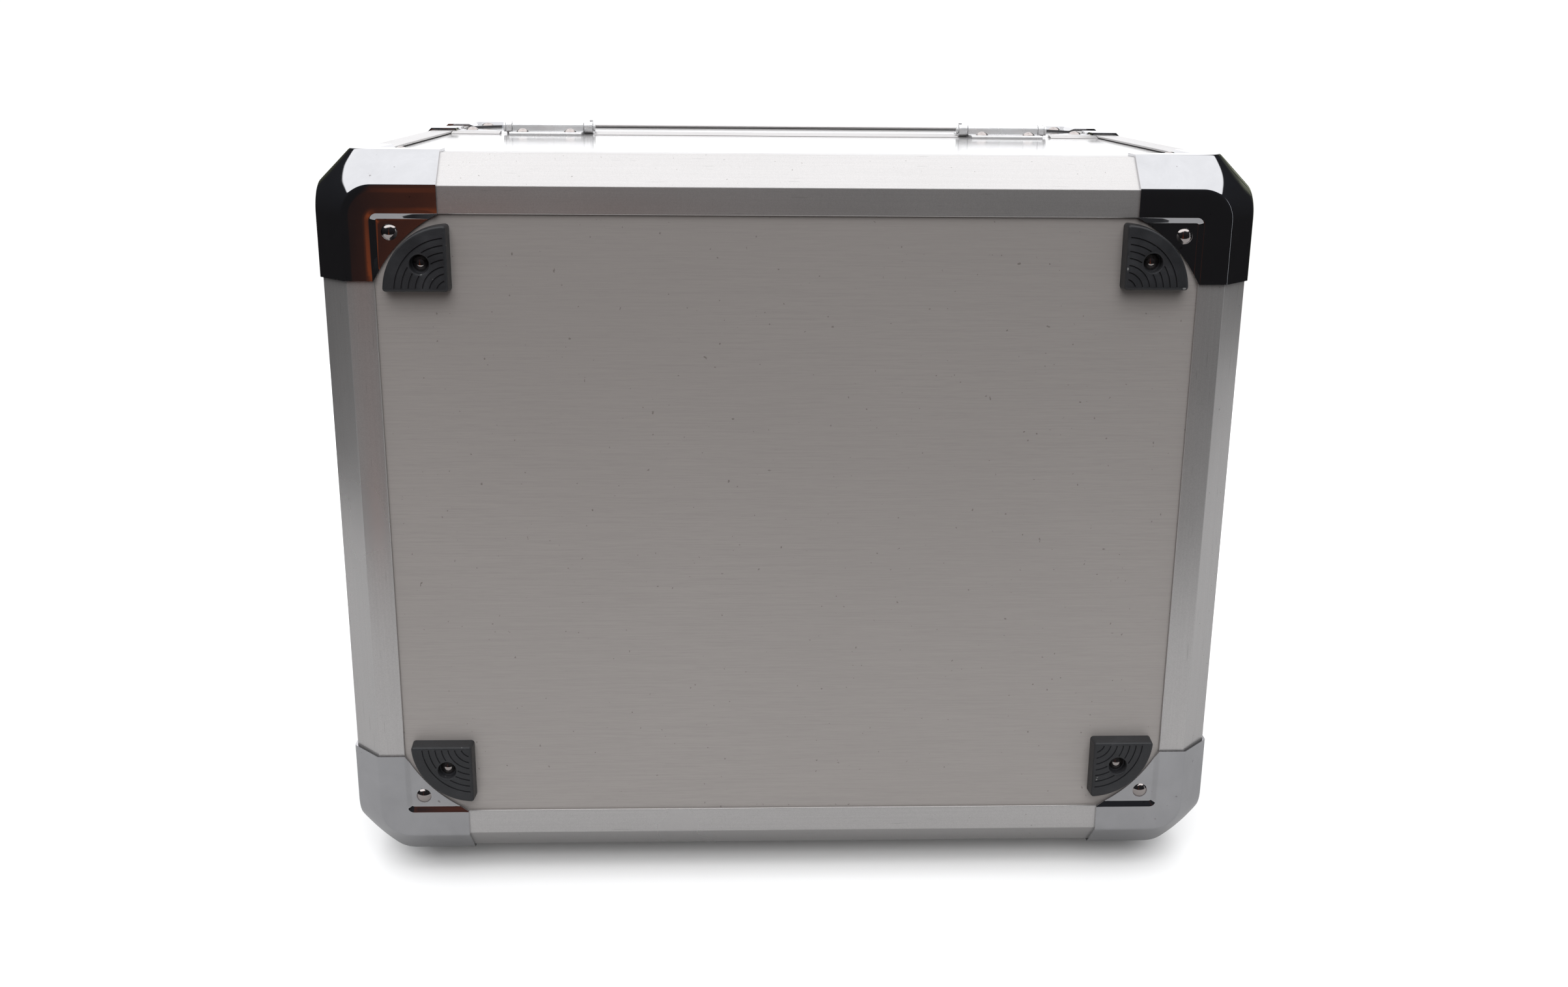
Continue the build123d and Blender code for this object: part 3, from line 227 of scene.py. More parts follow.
def chrome(name, tint=(0.54, 0.54, 0.555), rough=(0.035, 0.085), wave=0.00006, dirt=0.5, metal=1.0):
    """Bright plating: soft waviness of pressed sheet, thin smears and small dirt marks."""
    g = Graph(name)
    smear = g.noise(g.mapped((55, 55, 55)), detail=4.0, rough=0.6, distort=0.6)
    swell = g.noise(g.mapped((42, 42, 42), shift=(4, 4, 9)), detail=1.0)
    col = g.ramp(smear, [(0.30, tuple(c * 0.93 for c in tint)), (0.72, tuple(min(1, c * 1.04) for c in tint))])
    speck = g.noise(g.mapped((430, 430, 430), shift=(6, 1, 3)), detail=1.0)
    col = g.mix(g.span(speck, 0.765, 0.80, 0.0, dirt), col, (0.10, 0.08, 0.07))
    g.link(col, g.bsdf.inputs["Base Color"])
    g.set(Metallic=metal)
    g.link(g.span(smear, 0.35, 0.75, rough[0], rough[1]), g.bsdf.inputs["Roughness"])
    g.bump(swell, 0.5, wave)
    return g.mat


def plastic(name):
    """Moulded dark grey plastic: fine mould texture, dusty bloom and small scuffs."""
    g = Graph(name)
    fine = g.noise(g.mapped((2600, 2600, 2600)), detail=2.0, rough=0.7)
    bloom = g.noise(g.mapped((95, 95, 95)), detail=3.0)
    col = g.ramp(bloom, [(0.3, (0.013, 0.0135, 0.015)), (0.55, (0.018, 0.0185, 0.0205)), (0.75, (0.026, 0.0265, 0.029))])
    col = g.mix(g.span(fine, 0.4, 0.75, 0.0, 0.25), col, (0.040, 0.041, 0.044))
    scuff = g.noise(g.mapped((420, 420, 420), shift=(3, 3, 8)), detail=1.0)
    col = g.mix(g.span(scuff, 0.775, 0.80, 0.0, 0.5), col, (0.30, 0.30, 0.30))
    g.link(col, g.bsdf.inputs["Base Color"])
    g.link(g.span(bloom, 0.3, 0.7, 0.35, 0.50), g.bsdf.inputs["Roughness"])
    g.set(IOR=1.48)
    g.bump(fine, 0.35, 0.00005)
    return g.mat


def foam(name, tint):
    """Open-cell foam: pores of two sizes with painted shade in their hollows and a painted highlight on the cell tops,
    and a slightly dusty nap.
    """
    g = Graph(name)
    pores = g.cells(g.mapped((1, 1, 1)), scale=620)
    fine = g.cells(g.mapped((1, 1, 1), shift=(2, 3, 4)), scale=1500)
    cloud = g.noise(g.mapped((26, 26, 26)), detail=3.0)
    pore_depth_and_shade = g.math("ADD", g.math("MULTIPLY", pores, 0.65), g.math("MULTIPLY", fine, 0.35))
    # painted shade and highlight: darker where the bump is low in the pores, lighter on the raised cell tops
    col = g.ramp(pore_depth_and_shade, [(0.12, tuple(c * 1.7 for c in tint)), (0.45, tint), (0.8, tuple(c * 0.35 for c in tint))])
    col = g.mix(g.span(cloud, 0.35, 0.75, 0.0, 0.3), col, tuple(c * 1.5 for c in tint))
    g.link(col, g.bsdf.inputs["Base Color"])
    g.set(Roughness=0.95)
    g.bsdf.inputs["Sheen Weight"].default_value = 0.25
    g.bsdf.inputs["Sheen Roughness"].default_value = 0.6
    flip = g.math("SUBTRACT", 1.0, pore_depth_and_shade)
    g.bump(flip, 0.9, 0.0006)
    return g.mat


def rubber(name):
    """Soft black grip: fine stipple, and worn patches, scattered at random, that are lighter and less rough."""
    g = Graph(name)
    stipple = g.cells(g.mapped((1, 1, 1)), scale=1400)
    worn = g.noise(g.mapped((60, 60, 60)), detail=3.0)
    col = g.ramp(worn, [(0.3, (0.016, 0.016, 0.017)), (0.7, (0.034, 0.034, 0.036))])
    col = g.mix(g.span(stipple, 0.1, 0.5, 0.25, 0.0), col, (0.05, 0.05, 0.052))
    g.link(col, g.bsdf.inputs["Base Color"])
    g.link(g.span(worn, 0.35, 0.7, 0.62, 0.42), g.bsdf.inputs["Roughness"])
    g.bump(stipple, 0.4, 0.00012)
    return g.mat


def plywood(name):
    """Birch plywood: grain along X, with the glue lines of its plies."""
    g = Graph(name)
    grain = g.noise(g.mapped((9, 260, 260)), detail=4.0, rough=0.6, distort=0.4)
    pores = g.noise(g.mapped((60, 2400, 2400)), detail=2.0)
    col = g.ramp(grain, [(0.3, (0.42, 0.29, 0.16)), (0.55, (0.58, 0.43, 0.27)), (0.75, (0.68, 0.53, 0.36))])
    col = g.mix(g.span(pores, 0.6, 0.75, 0.0, 0.5), col, (0.25, 0.16, 0.09))
    g.link(col, g.bsdf.inputs["Base Color"])
    g.set(Roughness=0.7)
    g.bump(grain, 0.3, 0.0002)
    return g.mat


def brushed_steel(name, axis):
    """Plated steel of the handle: short polishing lines and soft wear."""
    g = Graph(name)
    lines = g.noise(g.mapped(along(axis, 120, 2600)), detail=2.0, rough=0.6)
    wear = g.noise(g.mapped((45, 45, 45)), detail=3.0)
    col = g.ramp(lines, [(0.3, (0.44, 0.44, 0.45)), (0.7, (0.60, 0.60, 0.61))])
    col = g.mix(g.span(wear, 0.45, 0.75, 0.0, 0.3), col, (0.40, 0.39, 0.38))
    g.link(col, g.bsdf.inputs["Base Color"])
    g.set(Metallic=1.0)
    g.link(g.span(wear, 0.3, 0.7, 0.16, 0.30), g.bsdf.inputs["Roughness"])
    g.bump(lines, 0.2, 0.00004)
    return g.mat


M = {
    "skin_x": brushed("panel_skin_x", 0), "skin_y": brushed("panel_skin_y", 1),
    "skin_rear": brushed("panel_skin_rear", 0, tint=(0.42, 0.413, 0.413), rough=(0.42, 0.34), metal=0.55, coat=1.0),
    "ext_x": satin("extrusion_x", 0), "ext_y": satin("extrusion_y", 1), "ext_z": satin("extrusion_z", 2),
    "cap": chrome("cap_chrome"), "hinge": chrome("hinge_chrome", tint=(0.80, 0.80, 0.81), rough=(0.22, 0.32), wave=0.00003, metal=0.6),
    "latch": chrome("latch_chrome", rough=(0.08, 0.16), wave=0.00003),
    "rivet": chrome("rivet_plating", tint=(0.50, 0.455, 0.44), rough=(0.09, 0.16), wave=0.00002, dirt=0.7),
    "steel": brushed_steel("handle_steel", 0), "foot": plastic("foot_plastic"), "grip": rubber("grip_rubber"),
    "foam": foam("foam_dark", (0.040, 0.040, 0.044)), "lid_foam": foam("foam_lid", (0.055, 0.055, 0.060)),
    "board": plywood("plywood"),
}


# ------------------------------------------------------------------ mesh helpers
def finish_mesh(me, smooth):
    bm = bmesh.new()
    bm.from_mesh(me)
    bmesh.ops.remove_doubles(bm, verts=bm.verts, dist=1e-6)
    bmesh.ops.dissolve_degenerate(bm, edges=bm.edges, dist=1e-7)
    bmesh.ops.recalc_face_normals(bm, faces=bm.faces)
    bm.to_mesh(me)
    bm.free()
    me.polygons.foreach_set("use_smooth", [True] * len(me.polygons))
    me.set_sharp_from_angle(angle=math.radians(smooth))
    me.update()


def piece(name, verts, faces, body, mats, nodes=(), smooth=32.0, mat_index=None):
    """A mesh from points in mm, riding on a body and standing for the named CAD nodes."""
    me = bpy.data.meshes.new(name)
    me.from_pydata([(x * 0.001, y * 0.001, z * 0.001) for x, y, z in verts], [], faces)
    for mat in mats if isinstance(mats, (list, tuple)) else [mats]:
        me.materials.append(mat)
    if mat_index is not None:
        me.polygons.foreach_set("material_index", mat_index)
    finish_mesh(me, smooth)
    obj = bpy.data.objects.new(name, me)
    bpy.context.scene.collection.objects.link(obj)
    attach(obj, body)
    if nodes:
        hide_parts(*nodes)
    return obj


def rounded(points, radii, seg=4):
    """A closed outline with its corners rounded."""
    out, n = [], len(points)
    for i, (p, r) in enumerate(zip(points, radii)):
        if r <= 0:
            out.append(tuple(p))
            continue
        p = np.array(p, float)
        a = np.array(points[i - 1], float) - p
        b = np.array(points[(i + 1) % n], float) - p
        la, lb = np.linalg.norm(a), np.linalg.norm(b)
        a, b = a / la, b / lb
        half = math.acos(max(-1, min(1, float(a @ b)))) / 2
        t = r / math.tan(half)
        mid = (a + b) / np.linalg.norm(a + b)
        c = p + mid * (r / math.sin(half))
        s, e = p + a * t - c, p + b * t - c
        ang = math.acos(max(-1, min(1, float(s @ e) / r / r)))
        for k in range(seg + 1):
            w = k / seg
            v = (math.sin((1 - w) * ang) * s + math.sin(w * ang) * e) / math.sin(ang)
            out.append(tuple(c + v))
    return out


def prism(outline, place, lo, hi):
    """An outline drawn along a third direction. place(p, q, s) gives x, y, z."""
    n = len(outline)
    verts = [place(p, q, lo) for p, q in outline] + [place(p, q, hi) for p, q in outline]
    faces = [(i, (i + 1) % n, n + (i + 1) % n, n + i) for i in range(n)]
    faces += [tuple(range(n)), tuple(range(2 * n - 1, n - 1, -1))]
    return verts, faces


def joined(parts):
    verts, faces, index = [], [], []
    for k, (v, f, *mi) in enumerate(parts):
        base = len(verts)
        verts += list(v)
        faces += [tuple(i + base for i in face) for face in f]
        index += [mi[0] if mi else 0] * len(f)
    return verts, faces, index


def lathe(profile, seg=36):
    """A closed profile of (radius, height) points turned about the height axis."""
    verts, faces, rows = [], [], []
    for r, h in profile:
        if r < 1e-6:
            rows.append([len(verts)])
            verts.append((0.0, 0.0, h))
        else:
            rows.append(list(range(len(verts), len(verts) + seg)))
            verts += [(r * math.cos(2 * math.pi * k / seg), r * math.sin(2 * math.pi * k / seg), h) for k in range(seg)]
    for a, b in zip(rows, rows[1:]):
        for k in range(seg):
            k2 = (k + 1) % seg
            if len(a) == 1:
                faces.append((a[0], b[k], b[k2]))
            elif len(b) == 1:
                faces.append((a[k], b[0], a[k2]))
            else:
                faces.append((a[k], b[k], b[k2], a[k2]))
    return verts, faces


# ------------------------------------------------------------------ frame extrusions
profile = [
    (EDGE, 0), (BEVEL, 0), (0, BEVEL), (0, EDGE), (1.05, EDGE), (1.05, 14.8), (INNER, 14.8),
    (INNER, 20), (6.8, 20), (6.8, 10), (10, 6.8), (20, 6.8), (20, INNER), (14.8, INNER),
    (14.8, 1.05), (EDGE, 1.05),
]
profile_r = [0.35, 0.9, 0.9, 0.35, 0.2] + [0] * 10 + [0.2]
outline = rounded(profile, profile_r)


def rail(axis, p0, q0, sp_, sq_, lo, hi):
    """One length of extrusion along X, Y or Z, its outer corner line at (p0, q0)."""
    if axis == 0:
        place = lambda p, q, s: (s, p0 + sp_ * p, q0 + sq_ * q)
    elif axis == 1:
        place = lambda p, q, s: (p0 + sp_ * p, s, q0 + sq_ * q)
    else:
        place = lambda p, q, s: (p0 + sp_ * p, q0 + sq_ * q, s)
    return prism(outline, place, lo, hi)


def frame_rails(name, y0, s):
    parts = [(*rail(0, y0, z0, s, sz, -XS + CUT, XS - CUT), 0) for z0, sz in ((ZF, 1), (ZR, -1))]
    parts += [(*rail(2, x0, y0, sx, s, ZF + CUT, ZR - CUT), 1) for x0, sx in ((-XS, 1), (XS, -1))]
    v, f, mi = joined(parts)
    return v, f, mi


def corner_posts(lo, hi):
    return joined([rail(1, x0, z0, sx, sz, lo, hi) for x0, sx in ((-XS, 1), (XS, -1)) for z0, sz in ((ZF, 1), (ZR, -1))])


v, f, mi = frame_rails("base", YB, 1)
piece("base_rails", v, f, "base", [M["ext_x"], M["ext_z"]], ["base_frame_rails"], mat_index=mi)
v, f, mi = frame_rails("lid", YL, -1)
piece("lid_rails", v, f, "lid", [M["ext_x"], M["ext_z"]], ["lid_frame_rails"], mat_index=mi)
v, f, _ = corner_posts(YB + CUT, BASE_END)
piece("base_posts", v, f, "base", M["ext_y"], ["base_corner_posts"])
v, f, _ = corner_posts(LID_END, YL - CUT)
piece("lid_posts", v, f, "lid", M["ext_y"], ["lid_corner_posts"])


# ------------------------------------------------------------------ pressed corner caps
def cap_mesh():
    """One corner cap in distances from its three outer planes. The 45 degree chamfers turn round the
    corner as cones about the three fold arcs, and meet in softened mitres. A soft step leads down to
    a wing with a hollow edge on each face."""
    B, RF, leg, th = 13.4, 13.0, 53.2, 1.15
    CC = B + RF
    E0, E1, D, RI = 25.0, 27.6, 1.4, 3.3
    CI = E0 + RI
    ac, ar = 80.15, 61.02                     # the wing's hollow edge is an arc about (ac, ac)
    arc_at = lambda t: ac - math.sqrt(ar * ar - (t - ac) ** 2)
    z_star = arc_at(E1)
    n_leg, n_arc = 14, 24
    cols = [("z", i / n_leg) for i in range(n_leg)] + [("a", i / n_arc) for i in range(n_arc + 1)]
    cols += [("x", 1 - i / n_leg) for i in range(1, n_leg + 1)]
    steps = (0.05, 0.1, 0.15, 0.5, 0.85, 0.9, 0.95, 1.0)      # rows across the step

    def depth_of(h):
        u, w = min(1, max(0, (h - E0) / (E1 - E0))), 0.15
        if u < w:
            return D * u * u / (2 * w * (1 - w))
        if u > 1 - w:
            return D * (1 - (1 - u) ** 2 / (2 * w * (1 - w)))
        return D * (u - w / 2) / (1 - w)

    def column(kind, w, off, rf):
        """Points (x, z, depth) of one column, from the chamfer's middle line to the wing's edge."""
        swap = kind == "x" or (kind == "a" and w > 0.5)
        phi = 0.0 if kind != "a" else (w if w <= 0.5 else 1 - w) * math.pi / 2
        cosp = math.cos(phi)
        fold = B + off * math.sqrt(2) - off
        hc = (B + off * math.sqrt(2) - CC * (1 - cosp)) / (1 + cosp)
        yc = B + off * math.sqrt(2) - hc
        t = rf * math.tan(math.pi / 8)
        section = [(hc + (fold - t * 0.7071 - hc) * k / 7, yc + (off + t * 0.7071 - yc) * k / 7) for k in range(7)]
        for k in range(5):
            a = math.pi / 4 * (1 - k / 4)
            section.append((fold + t - rf * math.sin(a), off + rf - rf * math.cos(a)))
        z_out = leg + (CC - leg) * w if kind != "a" else None
        z_in = leg + (CI - leg) * w if kind != "a" else None
        pts = []
        for h, y in section:
            if kind == "a":
                pts.append((CC - (CC - h) * math.cos(phi), CC - (CC - h) * math.sin(phi), y))
            else:
                pts.append((h, z_out, y))
        start = pts[-1]
        if kind == "a":
            end = (CI - RI * math.cos(phi), CI - RI * math.sin(phi))
        else:
            end = (E0, z_in)
        for k in range(1, 5):
            pts.append((start[0] + (end[0] - start[0]) * k / 4, start[1] + (end[1] - start[1]) * k / 4, off))
        if kind == "a":
            for k in steps:
                h = E0 + (E1 - E0) * k
                r = CI - h
                pts.append((CI - r * math.cos(phi), CI - r * math.sin(phi), depth_of(h) + off))
            u = (z_star - CI) + 7.0 * phi / (math.pi / 4)
        else:
            stop = min(E1, arc_at(z_in))
            for k in steps:
                h = E0 + (stop - E0) * k
                pts.append((h, z_in, depth_of(h) + off))
            u = z_star - z_in
        last = pts[-1]
        if u <= 0:
            aim = (last[0], last[1])
        else:
            za = z_star + (37.0 - z_star) * u / (z_star - CI + 7.0)
            aim = (arc_at(za), za)
        for k in range(1, 7):
            pts.append((last[0] + (aim[0] - last[0]) * k / 6, last[1] + (aim[1] - last[1]) * k / 6,
                        last[2] if u <= 0 else D + off))
        return [(b, a, y) if swap else (a, b, y) for a, b, y in pts]

    verts, faces = [], []
    for sector in range(3):
        grids = []
        for off, rf in ((0.0, 1.7), (th, 0.5)):
            grid = []
            for kind, w in cols:
                row = []
                for a, b, y in column(kind, w, off, rf):
                    p = {0: (a, y, b), 1: (y, b, a), 2: (b, a, y)}[sector]
                    row.append(len(verts))
                    verts.append(p)
                grid.append(row)
            grids.append(grid)
        outer, inner_ = grids
        nc, nr = len(outer), len(outer[0])
        for g in grids:
            for i in range(nc - 1):
                for j in range(nr - 1):
                    faces.append((g[i][j], g[i + 1][j], g[i + 1][j + 1], g[i][j + 1]))
        for i in (0, nc - 1):
            for j in range(nr - 1):
                faces.append((outer[i][j], outer[i][j + 1], inner_[i][j + 1], inner_[i][j]))
        for i in range(nc - 1):
            faces.append((outer[i][nr - 1], outer[i + 1][nr - 1], inner_[i + 1][nr - 1], inner_[i][nr - 1]))
    bm = bmesh.new()
    bv = [bm.verts.new(p) for p in verts]
    for face in faces:
        ids = [bv[i] for i in face]
        if len(set(ids)) == len(ids):
            bm.faces.new(ids)
    bmesh.ops.remove_doubles(bm, verts=bm.verts, dist=0.02)
    bmesh.ops.dissolve_degenerate(bm, edges=bm.edges, dist=0.002)
    bm.verts.ensure_lookup_table()
    # soften the mitres near the corner; flats and folds stay
    co = np.array([v.co[:] for v in bm.verts])
    near = np.linalg.norm(co - np.array([10.0, 10.0, 10.0]), axis=1)
    low = co.min(axis=1)
    weight = np.clip((16.0 - near) / 9.0, 0, 1) * np.clip((low - 1.8) / 2.2, 0, 1)
    rings = [[e.other_vert(v).index for e in v.link_edges] for v in bm.verts]
    moving = [i for i in range(len(co)) if weight[i] > 0.001]
    for _ in range(26):
        new = co.copy()
        for i in moving:
            new[i] = co[i] + (co[rings[i]].mean(axis=0) - co[i]) * 0.6 * weight[i]
        co = new
    out_faces = [tuple(v.index for v in f.verts) for f in bm.faces]
    bm.free()
    return co, out_faces


cap_co, cap_faces = cap_mesh()
for body, y0, s in (("base", YB, 1), ("lid", YL, -1)):
    for zn, z0, sz in (("rear", ZR, -1), ("front", ZF, 1)):
        for xn, x0, sx in (("left", -XS, 1), ("right", XS, -1)):
            pts = [(x0 + sx * (a - CAP_T), y0 + s * (b - CAP_T), z0 + sz * (c - CAP_T)) for a, b, c in cap_co]
            piece(f"{body}_corner_{zn}_{xn}", pts, cap_faces, body, M["cap"],
                  [f"{body}_cap_{zn}_{xn}"], smooth=50)


# ------------------------------------------------------------------ rivets
def dome(r, h, low, tail):
    """Domed head, shank and formed tail. low is how far the shank goes below the head's seat."""
    big = (r * r + h * h) / (2 * h)
    top = [(big * math.sin(a), big * math.cos(a) + h - big) for a in np.linspace(0, math.asin(r / big), 12)]
    top[0] = (0.0, h)
    return lathe(top + [(r, -0.02), (1.6, -0.02), (1.6, -low), (2.3, -low), (2.4, -low - 0.25), (2.2, -low - tail), (0.0, -low - tail)])


def rivets(name, body, nodes, groups):
    """groups: (mesh, list of (origin, outward axis, sign))."""
    parts = []
    for (v, f), spots in groups:
        for origin, axis, s in spots:
            if axis == 0:
                pts = [(origin[0] + s * c, origin[1] + a, origin[2] + b) for a, b, c in v]
            elif axis == 1:
                pts = [(origin[0] + a, origin[1] + s * c, origin[2] + b) for a, b, c in v]
            else:
                pts = [(origin[0] + a, origin[1] + b, origin[2] + s * c) for a, b, c in v]
            parts.append((pts, f))
    v, f, _ = joined(parts)
    piece(name, v, f, body, M["rivet"], nodes, smooth=40)


seat = LIP - CAP_T
cap_rivet = dome(3.4, 1.55, 5.2, 0.95)
fit_rivet = dome(3.4, 1.8, 5.5, 0.95)
xi, zi = (-XS + RIVET_IN, XS - RIVET_IN), (ZF + RIVET_IN, ZR - RIVET_IN)


def cap_spots(y_plane, s, ys):
    out = [((x, y_plane + s * seat, z), 1, -s) for x in xi for z in zi]
    for y in ys:
        out += [((x, y, ZR - seat), 2, 1) for x in xi] + [((x, y, ZF + seat), 2, -1) for x in xi]
        out += [((-XS + seat, y, z), 0, -1) for z in zi] + [((XS - seat, y, z), 0, 1) for z in zi]
    return out


rivets("rivets_base_caps", "base", ["base_cap_rivets"], [(cap_rivet, cap_spots(YB, 1, [YB + RIVET_IN]))])
rivets("rivets_lid_caps", "lid", ["lid_cap_rivets"], [(cap_rivet, cap_spots(YL, -1, [YL - RIVET_IN, LID_END + 16.5]))])
hinge_xs = [s * HINGE_X + d for s in (-1, 1) for d in (-12.6, 12.6)]
rivets("rivets_hinge_base", "base", ["base_hinge_rivets"],
       [(fit_rivet, [((x, YP - 10.6, REAR_FACE + 1.5), 2, 1) for x in hinge_xs])])
rivets("rivets_lid_fittings", "lid", ["lid_fitting_rivets"],
       [(fit_rivet, [((x, YP + 11.6, REAR_FACE + 1.5), 2, 1) for x in hinge_xs]
         + [((s * LATCH_X + d, YP + 20.0, FRONT_FACE - 1.5), 2, -1) for s in (-1, 1) for d in (-8.0, 8.0)])])
low_rivet = dome(3.0, 1.4, 5.6, 0.95)
latch_spots = [((s * LATCH_X + d, YP + v, FRONT_FACE - 1.6), 2, -1) for s in (-1, 1)
               for d, v in ((0.0, -46.0), (-6.5, -11.6), (6.5, -11.6))]
bracket_spots = [((s * HANDLE_X + d, YB + HANDLE_Y + v, FRONT_FACE - 2.0), 2, -1) for s in (-1, 1)
                 for d in (-11.0, 11.0) for v in (-10.0, 10.0)]
rivets("rivets_front_fittings", "base", ["front_fitting_rivets"], [(low_rivet, latch_spots), (dome(3.0, 1.4, 6.0, 0.95), bracket_spots)])


# ------------------------------------------------------------------ feet
FOOT_R, FOOT_T, FOOT_HOLE = 28.0, 7.4, 11.8
FEET = {"foot_rear_left": (-142.0, 265.1), "foot_rear_right": (140.6, 267.0),
        "foot_front_left": (-142.3, 59.1), "foot_front_right": (141.7, 59.1)}


def foot_outline(inset, rc):
    """The quarter disc with rounded corners, inset from its base outline."""
    r = FOOT_R - inset
    pts = []
    for k in range(7):                                       # inner right-angle corner
        a = math.pi * 1.5 - (math.pi / 2) * k / 6
        pts.append((inset + rc + rc * math.cos(a), inset + rc + rc * math.sin(a)))
    pts = pts[::-1]                                          # from the q side round to the p side
    cx = math.sqrt((r - rc) ** 2 - (inset + rc) ** 2)
    end = math.atan2(inset + rc, cx)
    for k in range(6):
        a = -math.pi / 2 + (math.pi / 2 + end) * k / 6
        pts.append((cx + rc * math.cos(a), inset + rc + rc * math.sin(a)))
    for k in range(41):
        a = end + (math.pi / 2 - 2 * end) * k / 40
        pts.append((r * math.cos(a), r * math.sin(a)))
    for k in range(1, 7):
        a = (math.pi / 2 - end) + (math.pi / 2 + end) * k / 6
        pts.append((inset + rc + rc * math.cos(a), cx + rc * math.sin(a)))
    return pts


def foot_mesh():
    levels = [(0.0, 0.0), (0.1, 2.0), (0.34, FOOT_T - 1.15)]
    levels += [(0.34 + 1.15 * (1 - math.cos(a)), FOOT_T - 1.15 + 1.15 * math.sin(a)) for a in np.linspace(0, math.pi / 2, 7)[1:]]
    verts, faces = [], []
    loops = []
    for inset, t in levels:
        ring = foot_outline(inset, max(0.5, 1.5 - inset * 0.6))
        loops.append(list(range(len(verts), len(verts) + len(ring))))
        verts += [(p, q, t) for p, q in ring]
    n = len(loops[0])
    for a, b in zip(loops, loops[1:]):
        faces += [(a[i], a[(i + 1) % n], b[(i + 1) % n], b[i]) for i in range(n)]
    faces.append(tuple(loops[0][::-1]))
    top_loop = [verts[i][:2] for i in loops[-1]]
    flat_pts = [Vector(p) for p in top_loop]
    flat_ids = list(loops[-1])
    edges = [(i, (i + 1) % n) for i in range(n)]
    hole_n, hole_r = 40, 4.35
    holes = []

    def add_loop(points):
        first = len(flat_pts)
        for p, q in points:
            flat_pts.append(Vector((p, q)))
            flat_ids.append(len(verts))
            verts.append((p, q, FOOT_T))
        k = len(points)
        edges.extend((first + i, first + (i + 1) % k) for i in range(k))
        return list(range(first, first + k))

    ring = lambda r: [(FOOT_HOLE + r * math.cos(2 * math.pi * k / hole_n), FOOT_HOLE + r * math.sin(2 * math.pi * k / hole_n)) for k in range(hole_n)]
    rim = [flat_ids[i] for i in add_loop(ring(hole_r))]
    holes.append(ring(hole_r))
    prev = rim
    for r, t in ((4.22, FOOT_T - 0.08), (4.12, FOOT_T - 0.3), (3.98, FOOT_T - 4.2), (3.7, FOOT_T - 4.42)):
        cur = list(range(len(verts), len(verts) + hole_n))
        verts += [(p, q, t) for p, q in ring(r)]
        faces += [(prev[i], prev[(i + 1) % hole_n], cur[(i + 1) % hole_n], cur[i]) for i in range(hole_n)]
        prev = cur
    faces.append(tuple(prev))
    inner_edge = 1.62
    for k in range(7):
        r0 = 4.85 + 2.9 * k
        r1 = r0 + 0.62
        t0, t1 = math.asin(inner_edge / r0), math.acos(inner_edge / r0)
        free, step = [], (t1 - t0) / 240
        for i in range(241):
            a = t0 + step * i
            ok = all(math.hypot(r * math.cos(a) - FOOT_HOLE, r * math.sin(a) - FOOT_HOLE) > hole_r + 0.28 for r in (r0, r1))
            if ok:
                if not free or free[-1][1] < a - step * 1.5:
                    free.append([a, a])
                free[-1][1] = a
        for a0, a1 in free:
            if a1 - a0 < 0.06:
                continue
            m_ = max(6, int((a1 - a0) * r0 / 0.9))
            shape = lambda lo_, hi_, b0, b1: ([(hi_ * math.cos(b0 + (b1 - b0) * i / m_), hi_ * math.sin(b0 + (b1 - b0) * i / m_)) for i in range(m_ + 1)]
                                              + [(lo_ * math.cos(b1 + (b0 - b1) * i / m_), lo_ * math.sin(b1 + (b0 - b1) * i / m_)) for i in range(m_ + 1)])
            top = shape(r0, r1, a0, a1)
            ids = [flat_ids[i] for i in add_loop(top)]
            holes.append(top)
            d = 0.14 / r0
            low_pts = shape(r0 + 0.14, r1 - 0.14, a0 + d, a1 - d)
            low_ids = list(range(len(verts), len(verts) + len(low_pts)))
            verts += [(p, q, FOOT_T - 0.62) for p, q in low_pts]
            cnt = len(ids)
            faces += [(ids[i], ids[(i + 1) % cnt], low_ids[(i + 1) % cnt], low_ids[i]) for i in range(cnt)]
            faces += [(low_ids[i], low_ids[i + 1], low_ids[cnt - 2 - i], low_ids[cnt - 1 - i]) for i in range(m_)]
    out_v, _, out_f, orig, _, _ = delaunay_2d_cdt(flat_pts, edges, [], 0, 1e-6)
    back = [o[0] for o in orig]

    def inside(p, poly):
        hit = False
        for i in range(len(poly)):
            (x1, y1), (x2, y2) = poly[i - 1], poly[i]
            if (y1 > p[1]) != (y2 > p[1]) and p[0] < (x2 - x1) * (p[1] - y1) / (y2 - y1) + x1:
                hit = not hit
        return hit

    for tri in out_f:
        c = sum((out_v[i] for i in tri), Vector((0, 0))) / 3
        if inside(c, top_loop) and not any(inside(c, h) for h in holes):
            faces.append(tuple(flat_ids[back[i]] for i in tri))
    return verts, faces


foot_v, foot_f = foot_mesh()
for name, (fx, fz) in FEET.items():
    hx = -1 if fx < 0 else 1
    hz = 1 if fz > H / 2 else -1
    pts = [(fx + hx * p, YB + LIP - t, ZF + fz + hz * q) for p, q, t in foot_v]
    piece(name.replace("foot", "corner_foot"), pts, foot_f, "base", M["foot"], [name], smooth=38)
foot_rivet = dome(3.4, 1.8, FOOT_T - 4.4 + SKIN + BOARD, 0.95)
foot_rivet_spots = []
for fx, fz in FEET.values():
    hx = -1 if fx < 0 else 1
    hz = 1 if fz > H / 2 else -1
    foot_rivet_spots.append(((fx + hx * 12.0, YB + LIP - (FOOT_T - 4.4), ZF + fz + hz * 12.0), 1, -1))
rivets("rivets_feet", "base", ["foot_rivets"], [(foot_rivet, foot_rivet_spots)])


